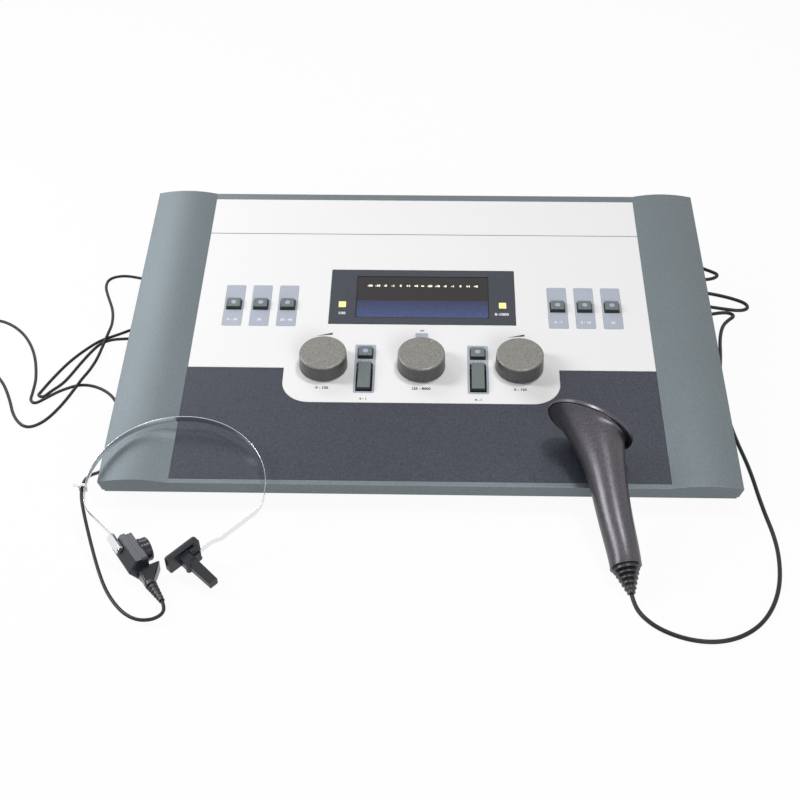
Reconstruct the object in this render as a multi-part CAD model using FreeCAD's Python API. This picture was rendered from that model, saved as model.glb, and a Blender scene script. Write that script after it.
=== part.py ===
import FreeCAD, Part
import os
from math import acos, cos, degrees, pi, radians, sin, sqrt, tan

os.makedirs("parts", exist_ok=True)
V = FreeCAD.Vector

# Two-channel audiometer: a sloping desktop console, a response handset and a bone conduction headset.
# Row frame in millimetres: X to the right, Y to the rear, Z up; the table is at Z = 0, the origin under the
# console's centre. Panel frame: U to the right, V up the slope to the rear, N out of the control panel, whose
# face is N = 0.

# ---------------------------------------------------------------- console
console_width = 480.0
panel_depth = 346.6          # along the slope
slope = 8.0                  # degrees
front_edge_height = 22.0     # panel's front edge above the table
wall = 2.5
deck_width = 374.6           # flat part between the two cheeks
cheek_rise = 3.2             # crown of each cheek above the panel
front_strip = 4.5
rear_strip = 7.8
overlay_thickness = 0.8
overlay_gap = 0.35
roof_thickness = 2.5
top_depth = 8.5              # top housing's edge, square to the panel
side_draft = 2.7             # how far the top housing's sides lean in over that depth
base_inset = 1.2             # shadow step at the parting line
base_band = 3.0              # straight band below the parting line
side_lean = 25.0             # degrees, base sides under the band
front_chamfer = 9.0
foot_height = 4.0
foot_radius = 8.0
boss_radius = 4.5
post_radius = 3.5            # posts that carry the two boards
post_pilot_radius = 1.2
screw_radius = 1.5
screw_head_radius = 2.9
screw_side_margin = 44.0     # from the console's side to the screws near it
screw_front_margin = 63.3
screw_rear_margin = 53.3
middle_screw_x = 75.0
middle_screw_margin = 23.3   # from the panel's front edge
foot_side_margin = 55.0
foot_end_margin = 33.3
slide_gap = 0.3              # loose clearance between moving and fixed pieces
pin_gap = 0.05               # running clearance of pins and shafts
cord_end_gap = 0.3           # where a cord meets the sleeve that holds it
vent_slot = (3.0, 40.0)      # slots in the base's floor
vent_pitch = 9.0
vent_first_x = 60.0
vent_y = -50.0
vent_count = 9               # on each side

# ---------------------------------------------------------------- control panel
divide_v = -50.0             # white overlay above, dark overlay below
lobe_half_width = 110.0
lobe_front_v = -87.9
lobe_radius = 22.0
groove_v = 117.5
bezel_size = (155.0, 68.1)
bezel_v = 35.85
bezel_rise = 0.4
window_size = (111.2, 51.7)
window_v = 35.55
lcd_height = 21.4            # lower part of the window
lamp_u = 66.9
lamp_v = 25.6
lamp_size = (6.0, 7.0)
key_plate_size = (16.0, 50.0)
key_plate_v = 23.7
key_v = 24.2
key_columns = (112.5, 135.0, 157.5)
key_base = (12.2, 12.0)
key_top = (10.8, 10.5)
key_rise = 3.4
key_travel = 1.2
centre_plate_size = (16.5, 54.5)
centre_plate_v = -50.1
centre_u = 45.3
centre_key_v = -32.9
tone_bar_size = (11.2, 29.7)
tone_bar_v = -59.9
tone_bar_rise = 3.6
tone_bar_play = 1.0
tone_hinge_v = -43.6
tone_hinge_n = -6.2
tone_contact_v = -66.0
hinge_pin_radius = 1.0
hinge_barrel = (2.4, 4.0)    # radius and half length
hinge_web = (-5.9, -1.8, -8.2)  # from and to along V from the hinge, and its foot
hinge_ear = (-2.6, 3.0, -8.8)
hinge_ear_thickness = 2.4
knob_u = 78.4
knob_v = -46.7
knob_base_radius = 19.3
knob_top_radius = 18.8
knob_height = 13.8
knob_lift = 0.8
knob_dimple_radius = 15.2    # from the knob's axis to the dimple's centre
dimple_ball_radius = 2.0
dimple_depth = 0.7
knob_wall = 2.2
knob_roof = 3.2
knob_hub_wall = 4.0
shaft_radius = 3.0
bush_radius = 4.5
mark_plate_size = (10.0, 9.5)
mark_plate_v = -13.2
plate_rise = 0.15

# ---------------------------------------------------------------- inside
board_top = -10.4            # control board's face, in the panel frame
board_thickness = 1.6
board_size = (360.0, 165.0)
board_v = -2.5
switch_size = 12.0
switch_top = -6.4
switch_floor = -9.9
switch_bore_radius = 3.6
light_pipe_radius = 2.1
stem_radius = 3.3
stem_bore_radius = 2.4
encoder_size = 13.0
encoder_top = -4.0
lcd_size = (106.0, 19.4)
lcd_floor = -8.4
lcd_legs = (50.0, 7.0)
meter_size = (106.0, 22.0)
meter_segment = (3.6, 6.0)
meter_pitch = 5.6
meter_segments = 8           # in each row

# ---------------------------------------------------------------- rear connectors
connector_z = 32.0
rear_plate_size = (300.0, 38.0, 1.5)
rear_opening_margin = 4.0
jack_pitch = 28.0
jack_first_x = -128.0
jack_count = 6
plug_pin_radius = 3.15
plug_pin_gap = 0.1
jack_bore_radius = plug_pin_radius + plug_pin_gap
jack_bore_length = 30.0
jack_bush_wall = 1.15
jack_bush_radius = jack_bore_radius + jack_bush_wall
jack_body = 12.0
jack_nut_flats = 2 * jack_bush_radius + 2.2
jack_collar = 2.5
plug_barrel_radius = 4.75
plug_barrel_length = 20.0
plug_boot_length = 12.0
plug_boot_radii = (3.6, 2.2)
power_switch_x = 60.0
inlet_x = 108.0
inlet_cavity = (24.4, 16.8)
inlet_flange = (31.0, 24.0)
inlet_depth = 15.0
inlet_pin_length = 7.0
rocker_radius = 8.2
rocker_width = 11.4
switch_wall = 1.6
switch_opening = (rocker_width / 2 + 1.3, rocker_radius + 2.0)  # half the hole in the rear plate
switch_body = (rocker_width / 2 + 1.1, rocker_radius + 1.8)
switch_flange = (rocker_width / 2 + 2.1, rocker_radius + 3.0, 1.6)
rocker_tilt = 10.0
rocker_pin_radius = 1.2

# ---------------------------------------------------------------- handset
handset_end = V(146.7, -244.0, 11.5)
handset_elevation = 21.9
handset_heading = 8.5        # degrees to the left of straight back
handle_sections = ((0.0, 11.4), (30.0, 12.3), (58.0, 13.4), (84.0, 15.9))
throat_axes = (22.5, 20.0)
throat_centre = (-2.2, 106.0)
head_centre = (-4.8, 115.0)
head_tilt = 32.5
head_axes = (33.5, 27.5)
head_plate = 3.2
head_seat_inset = 1.6
button_radius = 14.6
button_travel = 2.5
button_well = 8.0
boot_length = 20.0
handset_boot_radii = (9.6, 3.0)
handset_cord_radius = 1.6

# ---------------------------------------------------------------- headset
headset_line_y = -262.0      # the headset's plane rises to the rear from this line
headset_line_z = 9.8
headset_plane_tilt = 11.6
band_centre = (-179.5, 81.6)
band_radius = 66.5
band_width = 6.0
band_thickness = 0.9
vibrator_turn = -57.0        # heading of its long side
case_length = 31.5
case_ridge = (-7.5, 0.6)     # back edge, across and up from the case's centre
case_top = (-1.2, 3.3, 9.1)  # flat top: from, to, height
face_plate_front = 8.0
vibrator_swing_gap = 0.6
boss_disc_radius = 8.8
boss_disc_height = 7.0
boss_disc_lift = 1.5
clip_size = (18.0, 6.0, 2.8)
clip_pin_radius = 1.6
clip_pin_place = (-6.0, 5.6)
band_seat = (-17.8, -4.1, 6.9)  # band's end, from the case's centre
vibrator_plug_length = 12.0
vibrator_plug_root = (17.0, 10.6, 7.0, -3.5)  # width, height and centre of a section
vibrator_plug_neck = (12.0, 9.0, 5.0, -3.8)
vibrator_plug_tip = (7.4, 7.4)
vibrator_plug_end = (2.4, -4.0)
vibrator_boot_length = 20.0
vibrator_boot_radii = (4.2, 2.2)
pad_plate_size = (28.0, 15.0, 6.0)
pad_leg_size = (32.0, 7.0, 7.5)
pad_pivot = (4.0, 6.0)
pad_root = (8.0, -5.0, 8.8, 4.5)
pad_pin_radius = 1.5
clip_reach = (-4.6, 1.2, -3.5, 2.5, 4.2)  # across the band, along it, and half the clip's height
headset_cord_radius = 1.3

# ---------------------------------------------------------------- shared geometry
panel_half = panel_depth / 2
panel_origin = V(0, 0, front_edge_height + panel_half * sin(radians(slope)))
panel_turn = FreeCAD.Rotation(V(1, 0, 0), slope)
panel_frame = FreeCAD.Placement(panel_origin, panel_turn)
deck_half = deck_width / 2
cheek_width = console_width / 2 - deck_half
recess_n = -overlay_thickness
roof_under = recess_n - roof_thickness
press = panel_turn.multVec(V(0, 0, -1))
nodes = {}


def on_panel(shape):
    moved = shape.copy()
    moved.Placement = panel_frame.multiply(moved.Placement)
    return moved


def panel_point(u, v, n):
    return panel_frame.multVec(V(u, v, n))


def box(x0, x1, y0, y1, z0, z1):
    return Part.makeBox(x1 - x0, y1 - y0, z1 - z0, V(x0, y0, z0))


def block(size, x, y, z0, z1):
    return box(x - size[0] / 2, x + size[0] / 2, y - size[1] / 2, y + size[1] / 2, z0, z1)


def rod(radius, x, y, z0, z1):
    return Part.makeCylinder(radius, z1 - z0, V(x, y, z0))


def rod_x(radius, x0, x1, y, z):
    return Part.makeCylinder(radius, x1 - x0, V(x0, y, z), V(1, 0, 0))


def rod_y(radius, x, y0, y1, z):
    return Part.makeCylinder(radius, y1 - y0, V(x, y0, z), V(0, 1, 0))


def fused(shapes):
    first, rest = shapes[0], list(shapes[1:])
    return first.fuse(rest).removeSplitter() if rest else first


def rounded_outline(size, x, y, z, radius):
    hx, hy = size[0] / 2, size[1] / 2
    k = radius * (1 - sqrt(0.5))
    edges = []
    corners = ((1, 1), (-1, 1), (-1, -1), (1, -1))
    for i, (sx, sy) in enumerate(corners):
        before = V(x + sx * hx, y + sy * (hy - radius), z)
        after = V(x + sx * (hx - radius), y + sy * hy, z)
        if sx * sy < 0:
            before, after = after, before
        middle = V(x + sx * (hx - k), y + sy * (hy - k), z)
        nx, ny = corners[(i + 1) % 4]
        following = V(x + nx * (hx - radius), y + ny * hy, z)
        if nx * ny > 0:
            following = V(x + nx * hx, y + ny * (hy - radius), z)
        edges.append(Part.Arc(before, middle, after).toShape())
        edges.append(Part.LineSegment(after, following).toShape())
    return Part.Wire(edges)


def rounded_plate(size, x, y, z0, z1, radius):
    return Part.Face(rounded_outline(size, x, y, z0, radius)).extrude(V(0, 0, z1 - z0))


def drafted_block(lower, upper, x, y, z0, z1, radius):
    wires = [rounded_outline(lower, x, y, z0, radius), rounded_outline(upper, x, y, z1, radius)]
    return Part.makeLoft(wires, True, True)


def polygon(points):
    return Part.Face(Part.makePolygon(list(points) + [points[0]]))


def revolved(profile):
    """Solid of revolution about Z from (radius, height) points that start and end on the axis."""
    return polygon([V(r, 0, h) for r, h in profile]).revolve(V(0, 0, 0), V(0, 0, 1), 360)


def hexagon(flats, z0, z1):
    radius = flats / 2 / cos(pi / 6)
    corners = [V(radius * cos(i * pi / 3), radius * sin(i * pi / 3), z0) for i in range(6)]
    return polygon(corners).extrude(V(0, 0, z1 - z0))


def turned_to(shape, origin, direction):
    """Copy of a shape made about Z, with its Z axis laid along a direction."""
    moved = shape.copy()
    moved.Placement = FreeCAD.Placement(origin, FreeCAD.Rotation(V(0, 0, 1), direction))
    return moved


# ---------------------------------------------------------------- places on the panel
key_places = {}
for column, u in enumerate(sorted(-u for u in key_columns), 1):
    key_places["key_left_%d" % column] = (u, key_v)
for column, u in enumerate(key_columns, 1):
    key_places["key_right_%d" % column] = (u, key_v)
key_places["key_centre_left"] = (-centre_u, centre_key_v)
key_places["key_centre_right"] = (centre_u, centre_key_v)
knob_places = {
    "level_knob_left": (-knob_u, knob_v, 23.0),
    "frequency_knob": (0.0, knob_v, 28.0),
    "level_knob_right": (knob_u, knob_v, 81.0),
}
shaft_names = {
    "level_knob_left": "level_shaft_left",
    "frequency_knob": "frequency_shaft",
    "level_knob_right": "level_shaft_right",
}
key_hole = (key_base[0] + 2 * slide_gap, key_base[1] + 2 * slide_gap)
bar_hole = (tone_bar_size[0] + 2 * tone_bar_play, tone_bar_size[1] + 2 * tone_bar_play)
screw_x = console_width / 2 - screw_side_margin
screw_places = [(sx * screw_x, y) for sx in (-1, 1)
                for y in (screw_front_margin - panel_half, panel_half - screw_rear_margin)]
screw_places += [(sx * middle_screw_x, middle_screw_margin - panel_half) for sx in (-1, 1)]
board_posts = [(sx * 168.0, v) for sx in (-1, 1) for v in (-74.0, 66.0)]
foot_x = console_width / 2 - foot_side_margin
foot_y = panel_half - foot_end_margin
foot_places = [(sx * foot_x, sy * foot_y) for sx in (-1, 1) for sy in (-1, 1)]


crown_radius = (cheek_width ** 2 / 4 + cheek_rise ** 2) / (2 * cheek_rise)


def cheek_n(u, depth):
    """Height of a cheek's arc over the panel at this U, or of the concentric arc a depth below it."""
    offset = abs(u) - deck_half - cheek_width / 2
    return cheek_rise - crown_radius + sqrt((crown_radius - depth) ** 2 - offset ** 2)


def row_roof(x, y):
    """Height of the roof's underside above the table, on a vertical line at this X and Y."""
    under = cheek_n(x, wall) if abs(x) > deck_half + wall else roof_under
    return panel_origin.z + (under + y * sin(radians(slope))) / cos(radians(slope))


def parting_height(y):
    return panel_origin.z + (-top_depth + y * sin(radians(slope))) / cos(radians(slope))


# ---------------------------------------------------------------- housings
def top_profile(inner):
    """Cross-section of the top housing, or of the hollow inside it."""
    half = console_width / 2
    middle_u = deck_half + cheek_width / 2
    depth = wall if inner else 0.0
    deck_n = roof_under if inner else 0.0
    outer_u = half - 2 * wall if inner else half
    inner_u = deck_half + wall if inner else deck_half
    foot_u = half - side_draft - (wall if inner else 0.0)
    foot_n = -top_depth - (1.0 if inner else 0.0)
    shoulder_u = half - wall - 0.8
    right = [V(u, 0, cheek_n(u, depth)) for u in (inner_u, middle_u, outer_u)]
    left = [V(-p.x, 0, p.z) for p in reversed(right)]
    chain = [right[2]]
    if inner:
        chain.append(V(shoulder_u, 0, cheek_n(shoulder_u, depth)))
    chain += [V(foot_u, 0, foot_n), V(-foot_u, 0, foot_n)]
    if inner:
        chain.append(V(-shoulder_u, 0, cheek_n(shoulder_u, depth)))
    chain.append(left[0])
    edges = [Part.Arc(*right).toShape()]
    edges += [Part.LineSegment(a, b).toShape() for a, b in zip(chain, chain[1:])]
    edges.append(Part.Arc(*left).toShape())
    across = [left[2], right[0]]
    if inner:
        across = [left[2], V(left[2].x, 0, deck_n), V(right[0].x, 0, deck_n), right[0]]
    edges += [Part.LineSegment(a, b).toShape() for a, b in zip(across, across[1:])]
    return Part.Face(Part.Wire(edges))


def panel_prism(face, v0, v1):
    """A section drawn in the U-N plane, swept along V."""
    moved = face.copy()
    moved.translate(V(0, v0, 0))
    return moved.extrude(V(0, v1 - v0, 0))


def top_housing():
    shell = panel_prism(top_profile(False), -panel_half, panel_half)
    hollow = panel_prism(top_profile(True), -panel_half + wall, panel_half - wall)
    recess = box(-deck_half, deck_half, -panel_half + front_strip, panel_half - rear_strip, recess_n, 5.0)
    holes = [block((bezel_size[0] - 40, window_size[1] - 4), 0, window_v, roof_under - 1, 1)]
    for u, v in key_places.values():
        holes.append(block(key_hole, u, v, roof_under - 1, 1))
    for side in (-1, 1):
        holes.append(block(bar_hole, side * centre_u, tone_bar_v, roof_under - 1, 1))
        holes.append(block((lamp_size[0] - 1, lamp_size[1] - 1), side * lamp_u, lamp_v, roof_under - 1, 1))
    for u, v, _ in knob_places.values():
        holes.append(rod(bush_radius + slide_gap, u, v, roof_under - 1, 1))
    shell = shell.cut([hollow, recess] + holes)
    posts = [rod(post_radius, u, v, board_top, roof_under + 0.5) for u, v in board_posts]
    shell = on_panel(fused([shell] + posts))
    bosses = [rod(boss_radius, x, y, parting_height(y), row_roof(x, y) + 0.9) for x, y in screw_places]
    pilots = [rod(screw_radius, x, y, parting_height(y) - 1, row_roof(x, y) - 0.5) for x, y in screw_places]
    return fused([shell] + bosses).cut(pilots)


base_half = console_width / 2 - side_draft - base_inset
rear_y = panel_point(0, panel_half - base_inset, -top_depth).y


def base_side(top):
    """Side view of the base, in the row's Y-Z plane, closed at a height above the parting plane."""
    front = -panel_half + base_inset
    band = -top_depth - base_band
    low_front = panel_point(0, front, band)
    points = [
        panel_point(0, front, top),
        low_front,
        V(0, low_front.y + front_chamfer, foot_height),
        V(0, rear_y, foot_height),
        panel_point(0, panel_half - base_inset, top),
    ]
    return polygon(points)


def base_cross(top):
    """Cross-section of the base in the panel's U-N plane."""
    reach = 80.0
    band = -top_depth - base_band
    low = base_half - reach * tan(radians(side_lean))
    return polygon([
        V(-base_half, 0, top), V(-base_half, 0, band), V(-low, 0, band - reach),
        V(low, 0, band - reach), V(base_half, 0, band), V(base_half, 0, top),
    ])


def tub(inset):
    top = -top_depth if inset == 0 else -top_depth + inset + 1.0
    side, cross = base_side(top), base_cross(top)
    if inset:
        side = side.makeOffset2D(-inset, 2)
        cross = cross.makeOffset2D(-inset, 2)
    side.translate(V(-console_width, 0, 0))
    long_prism = side.extrude(V(2 * console_width, 0, 0))
    return long_prism.common(on_panel(panel_prism(cross, -panel_depth, panel_depth)))


def base_housing():
    shell = tub(0).cut(tub(wall))
    floor_top = foot_height + wall
    bosses = [rod(boss_radius, x, y, foot_height, parting_height(y)) for x, y in screw_places]
    supports = [rod(post_radius, x, y, foot_height, main_board_z) for x, y in main_board_posts]
    shell = fused([shell] + bosses + supports)
    cuts = []
    for x, y in screw_places:
        cuts.append(rod(screw_radius + 0.2, x, y, foot_height - 1, parting_height(y) + 1))
        cuts.append(rod(screw_head_radius + 0.4, x, y, foot_height - 1, parting_height(y) - wall))
    for x, y in main_board_posts:
        cuts.append(rod(post_pilot_radius, x, y, floor_top, main_board_z + 1))
    w, h, t = rear_plate_size
    gap = 0.2
    cuts.append(box(-w / 2 - gap, w / 2 + gap, rear_y - t, rear_y + 1, connector_z - h / 2 - gap,
                    connector_z + h / 2 + gap))
    m = rear_opening_margin
    cuts.append(box(-w / 2 + m, w / 2 - m, rear_y - wall - 1, rear_y + 1, connector_z - h / 2 + m,
                    connector_z + h / 2 - m))
    for i in range(vent_count):
        for side in (-1, 1):
            x = side * (vent_first_x + vent_pitch * i)
            cuts.append(block(vent_slot, x, vent_y, foot_height - 1, floor_top + 1))
    return shell.cut(cuts)


# ---------------------------------------------------------------- overlays, display and lamps
def lobe_outline(grow):
    """The white field's lobe between the knobs, as a closed face that reaches up past the divide."""
    half = lobe_half_width + grow
    front = lobe_front_v - grow
    radius = lobe_radius + grow
    k = radius * (1 - sqrt(0.5))
    top = divide_v + 40.0
    places = [(half, top), (-half, top), (-half, front + radius), (-half + radius, front),
              (half - radius, front), (half, front + radius)]
    points = [V(u, v, recess_n) for u, v in places]
    arcs = [Part.Arc(points[2], V(-half + k, front + k, recess_n), points[3]).toShape(),
            Part.Arc(points[4], V(half - k, front + k, recess_n), points[5]).toShape()]
    lines = [Part.LineSegment(points[a], points[b]).toShape() for a, b in ((0, 1), (1, 2), (3, 4), (5, 0))]
    return Part.Face(Part.Wire([lines[0], lines[1], arcs[0], lines[2], arcs[1], lines[3]]))


def overlay_holes(grow):
    holes = []
    for u, v in key_places.values():
        holes.append(block(key_hole, u, v, -2, 1))
    for u in sorted(key_columns):
        for side in (-1, 1):
            size = (key_plate_size[0] + 2 * grow, key_plate_size[1] + 2 * grow)
            holes.append(rounded_plate(size, side * u, key_plate_v, -2, 1, 1.2))
    for side in (-1, 1):
        size = (centre_plate_size[0] + 2 * grow, centre_plate_size[1] + 2 * grow)
        holes.append(rounded_plate(size, side * centre_u, centre_plate_v, -2, 1, 1.2))
    for u, v, _ in knob_places.values():
        holes.append(rod(bush_radius + slide_gap, u, v, -2, 1))
    size = (mark_plate_size[0] + 2 * grow, mark_plate_size[1] + 2 * grow)
    holes.append(rounded_plate(size, 0, mark_plate_v, -2, 1, 0.6))
    holes.append(block((bezel_size[0] + 2 * grow, bezel_size[1] + 2 * grow), 0, bezel_v, -2, 1))
    return holes


overlay_half = deck_half - 0.15
overlay_front = -panel_half + front_strip + 0.15
overlay_rear = panel_half - rear_strip - 0.15


def upper_overlay():
    sheet = box(-overlay_half, overlay_half, divide_v, overlay_rear, recess_n, 0)
    lobe = lobe_outline(0).extrude(V(0, 0, overlay_thickness))
    groove = box(-overlay_half - 1, overlay_half + 1, groove_v - 0.4, groove_v + 0.4, -0.3, 1)
    return on_panel(fused([sheet, lobe]).cut(overlay_holes(0.1) + [groove]))


def lower_overlay():
    sheet = box(-overlay_half, overlay_half, overlay_front, divide_v - overlay_gap, recess_n, 0)
    lobe = lobe_outline(overlay_gap).extrude(V(0, 0, 2))
    return on_panel(sheet.cut(lobe))


def display_bezel():
    frame = rounded_plate(bezel_size, 0, bezel_v, recess_n, bezel_rise, 1.5)
    frame = frame.makeChamfer(0.3, [e for e in frame.Edges if e.BoundBox.ZMin > bezel_rise - 0.01])
    cuts = [block(window_size, 0, window_v, -2, 1)]
    for side in (-1, 1):
        cuts.append(block((lamp_size[0] + 0.2, lamp_size[1] + 0.2), side * lamp_u, lamp_v, -2, 1))
    return on_panel(frame.cut(cuts))


def display_window():
    size = (window_size[0] - 0.2, window_size[1] - 0.2)
    return on_panel(block(size, 0, window_v, recess_n, 0.1))


def display_module():
    """Liquid crystal module under the lower part of the window, on its four legs."""
    v = window_v - window_size[1] / 2 + lcd_height / 2 + 2
    body = block(lcd_size, 0, v, lcd_floor, roof_under - 0.3)
    leg_u, leg_v = lcd_legs
    legs = [rod(1.5, side * leg_u, v + end * leg_v, board_top, lcd_floor)
            for side in (-1, 1) for end in (-1, 1)]
    return on_panel(fused([body] + legs))


def level_meter():
    """Two rows of lamp segments behind the upper part of the window."""
    v = window_v + lcd_height / 2 + 1
    body = block(meter_size, 0, v, board_top, roof_under - 1.6)
    low, high = roof_under - 1.8, roof_under - 0.3
    segments = []
    for side in (-1, 1):
        for i in range(meter_segments):
            segments.append(block(meter_segment, side * (7.0 + meter_pitch * i), v - 2, low, high))
    return on_panel(fused([body] + segments))


def indicator_lenses():
    lenses = []
    for side in (-1, 1):
        head = block(lamp_size, side * lamp_u, lamp_v, recess_n, bezel_rise)
        stem = block((lamp_size[0] - 1.6, lamp_size[1] - 1.6), side * lamp_u, lamp_v, board_top, recess_n)
        lenses.append(on_panel(fused([head, stem])))
    return Part.makeCompound(lenses)


def key_plates():
    plates = []
    for side in (-1, 1):
        for u in key_columns:
            plate = rounded_plate(key_plate_size, side * u, key_plate_v, recess_n, plate_rise, 1.2)
            plates.append(plate.cut(block(key_hole, side * u, key_v, -2, 1)))
        plate = rounded_plate(centre_plate_size, side * centre_u, centre_plate_v, recess_n, plate_rise, 1.2)
        plate = plate.cut([block(key_hole, side * centre_u, centre_key_v, -2, 1),
                           block(bar_hole, side * centre_u, tone_bar_v, -2, 1)])
        plates.append(plate)
    plates.append(rounded_plate(mark_plate_size, 0, mark_plate_v, recess_n, plate_rise, 0.6))
    return Part.makeCompound([on_panel(plate) for plate in plates])


# ---------------------------------------------------------------- keys, bars and knobs
def key_cap(u, v):
    """Drafted cap with a bore for its light pipe, a stop flange under the roof and a tubular stem."""
    flange_top = roof_under - slide_gap
    skirt = block(key_base, u, v, flange_top, 0)
    cap = drafted_block(key_base, key_top, u, v, 0, key_rise, 0.8)
    flange = block((key_base[0] + 1.6, key_base[1] + 1.2), u, v, flange_top - 1, flange_top)
    stem = rod(stem_radius, u, v, switch_floor + key_travel + slide_gap, flange_top)
    cap = cap.makeChamfer(0.35, [e for e in cap.Edges if e.BoundBox.ZMin > key_rise - 0.01])
    return on_panel(fused([skirt, cap, flange, stem]).cut(rod(stem_bore_radius, u, v, -20, key_rise + 1)))


def key_leds():
    """Light pipes that stand still while their keys go down round them."""
    top = key_rise - key_travel - 0.1
    pipes = [rod(light_pipe_radius, u, v, switch_floor, top) for u, v in key_places.values()]
    return Part.makeCompound([on_panel(pipe) for pipe in pipes])


def key_switches():
    places = list(key_places.values()) + [(side * centre_u, tone_contact_v) for side in (-1, 1)]
    bodies = []
    for u, v in places:
        body = block((switch_size, switch_size), u, v, board_top, switch_top)
        bodies.append(on_panel(body.cut(rod(switch_bore_radius, u, v, switch_floor, 0))))
    return Part.makeCompound(bodies)


def tone_bar(side):
    """Long rocking bar: it tips down at its front about a pin behind and below it."""
    u = side * centre_u
    bar = drafted_block(tone_bar_size, (tone_bar_size[0] - 0.8, tone_bar_size[1] - 0.6), u, tone_bar_v, 0,
                        tone_bar_rise, 0.8)
    bar = bar.makeChamfer(0.5, [e for e in bar.Edges if e.BoundBox.ZMin > tone_bar_rise - 0.01])
    skirt = rounded_plate(tone_bar_size, u, tone_bar_v, -2.4, 0, 0.8)
    barrel_radius, half = hinge_barrel
    front, rear, foot = hinge_web
    web = box(u - half, u + half, tone_hinge_v + front, tone_hinge_v + rear, foot, 0)
    barrel = rod_x(barrel_radius, u - half, u + half, tone_hinge_v, tone_hinge_n)
    stub = rod(2.0, u, tone_contact_v, -7.6, 0)
    body = fused([bar, skirt, web, barrel, stub])
    bore = rod_x(hinge_pin_radius + pin_gap, u - 9, u + 9, tone_hinge_v, tone_hinge_n)
    return on_panel(body.cut(bore))


def tone_bar_brackets():
    """Two ears and a hinge pin for each bar."""
    half = hinge_ear_thickness / 2
    inner = hinge_barrel[1] + 0.5
    reach = inner + 2 * half
    front, rear, foot = hinge_ear
    brackets = []
    for side in (-1, 1):
        middle = side * centre_u
        pin = rod_x(hinge_pin_radius, middle - reach, middle + reach, tone_hinge_v, tone_hinge_n)
        brackets.append(on_panel(pin))
        for end in (-1, 1):
            u = middle + end * (inner + half)
            ear = box(u - half, u + half, tone_hinge_v + front, tone_hinge_v + rear, foot, roof_under)
            bore = rod_x(hinge_pin_radius, u - 3, u + 3, tone_hinge_v, tone_hinge_n)
            brackets.append(on_panel(ear.cut(bore)))
    return Part.makeCompound(brackets)


def knob(u, v, dimple):
    """Hollow turned knob: skirt, hub with the shaft's bore, rounded top edge and a finger dimple."""
    base, top = knob_lift, knob_lift + knob_height
    body = Part.makeCone(knob_base_radius, knob_top_radius, knob_height, V(0, 0, base))
    body = body.makeFillet(1.1, [e for e in body.Edges if e.BoundBox.ZMin > top - 0.01])
    hollow = rod(knob_base_radius - knob_wall, 0, 0, base - 1, top - knob_roof)
    hub = rod(shaft_radius + knob_hub_wall, 0, 0, base + 0.8, top - knob_roof + 0.2)
    bore = rod(shaft_radius + pin_gap, 0, 0, base - 1, top - knob_wall)
    turn = radians(90 - dimple)
    place = V(cos(turn), sin(turn), 0) * knob_dimple_radius
    place.z = top + dimple_ball_radius - dimple_depth
    spot = Part.makeSphere(dimple_ball_radius, place)
    body = fused([body.cut(hollow), hub]).cut([bore, spot])
    body.translate(V(u, v, 0))
    return on_panel(body)


def knob_shaft(u, v):
    shaft = rod(shaft_radius, u, v, encoder_top - 3.0, knob_lift + knob_height - 2.6)
    return on_panel(shaft)


def encoder_bodies():
    bodies = []
    for u, v, _ in knob_places.values():
        body = block((encoder_size, encoder_size), u, v, board_top, encoder_top)
        bush = rod(bush_radius, u, v, encoder_top, 0.5)
        bore = rod(shaft_radius + pin_gap, u, v, encoder_top - 3.2, 5)
        bodies.append(on_panel(fused([body, bush]).cut(bore)))
    return Part.makeCompound(bodies)


def control_board():
    board = block(board_size, 0, board_v, board_top - board_thickness, board_top)
    holes = [rod(1.3, u, v, board_top - 5, 0) for u, v in board_posts]
    return on_panel(board.cut(holes))


# ---------------------------------------------------------------- electronics in the base
main_board_z = 12.0
main_board_size = (180.0, 100.0)
main_board_x = -60.0
main_board_y = panel_half - 101.3
main_board_posts = [(main_board_x + sx * 84.0, main_board_y + sy * 44.0)
                    for sx in (-1, 1) for sy in (-1, 1)]
supply_size = (96.0, 50.0)
supply_x = 118.0
supply_y = panel_half - 68.3
supply_top = 38.0


def main_board():
    z = main_board_z + board_thickness
    board = block(main_board_size, main_board_x, main_board_y, main_board_z, z)
    board = board.cut([rod(1.3, x, y, 0, 30) for x, y in main_board_posts])
    chips = [block((14.0, 14.0), main_board_x + offset, main_board_y - 12.0, z, z + 1.6)
             for offset in (-60.0, 0.0, 60.0)]
    chips.append(block((58.0, 9.0), main_board_x, main_board_y + 30.0, z, z + 8.0))
    return fused([board] + chips)


def power_supply():
    floor_top = foot_height + wall
    case = block(supply_size, supply_x, supply_y, floor_top, supply_top)
    low, high = supply_top - 1.2, supply_top + 1
    slots = [block((2.0, 34.0), supply_x + 8.0 * i, supply_y, low, high) for i in range(-4, 5)]
    return case.cut(slots)


# ---------------------------------------------------------------- rear connectors
jack_xs = [jack_first_x + jack_pitch * i for i in range(jack_count)]
jack_mouth = rear_y + jack_collar


def rear_panel():
    w, h, t = rear_plate_size
    plate = box(-w / 2, w / 2, rear_y - t, rear_y, connector_z - h / 2, connector_z + h / 2)
    corners = [e for e in plate.Edges if e.BoundBox.XLength < 0.01 and e.BoundBox.ZLength < 0.01]
    plate = plate.makeFillet(1.5, corners)
    cuts = [rod_y(jack_bush_radius + 0.1, x, rear_y - 5, rear_y + 5, connector_z) for x in jack_xs]
    for x, half_w, half_h in ((inlet_x, 14.3, 10.4), (power_switch_x, *switch_opening)):
        low, high = connector_z - half_h, connector_z + half_h
        cuts.append(box(x - half_w, x + half_w, rear_y - 5, rear_y + 5, low, high))
    return plate.cut(cuts)


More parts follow.
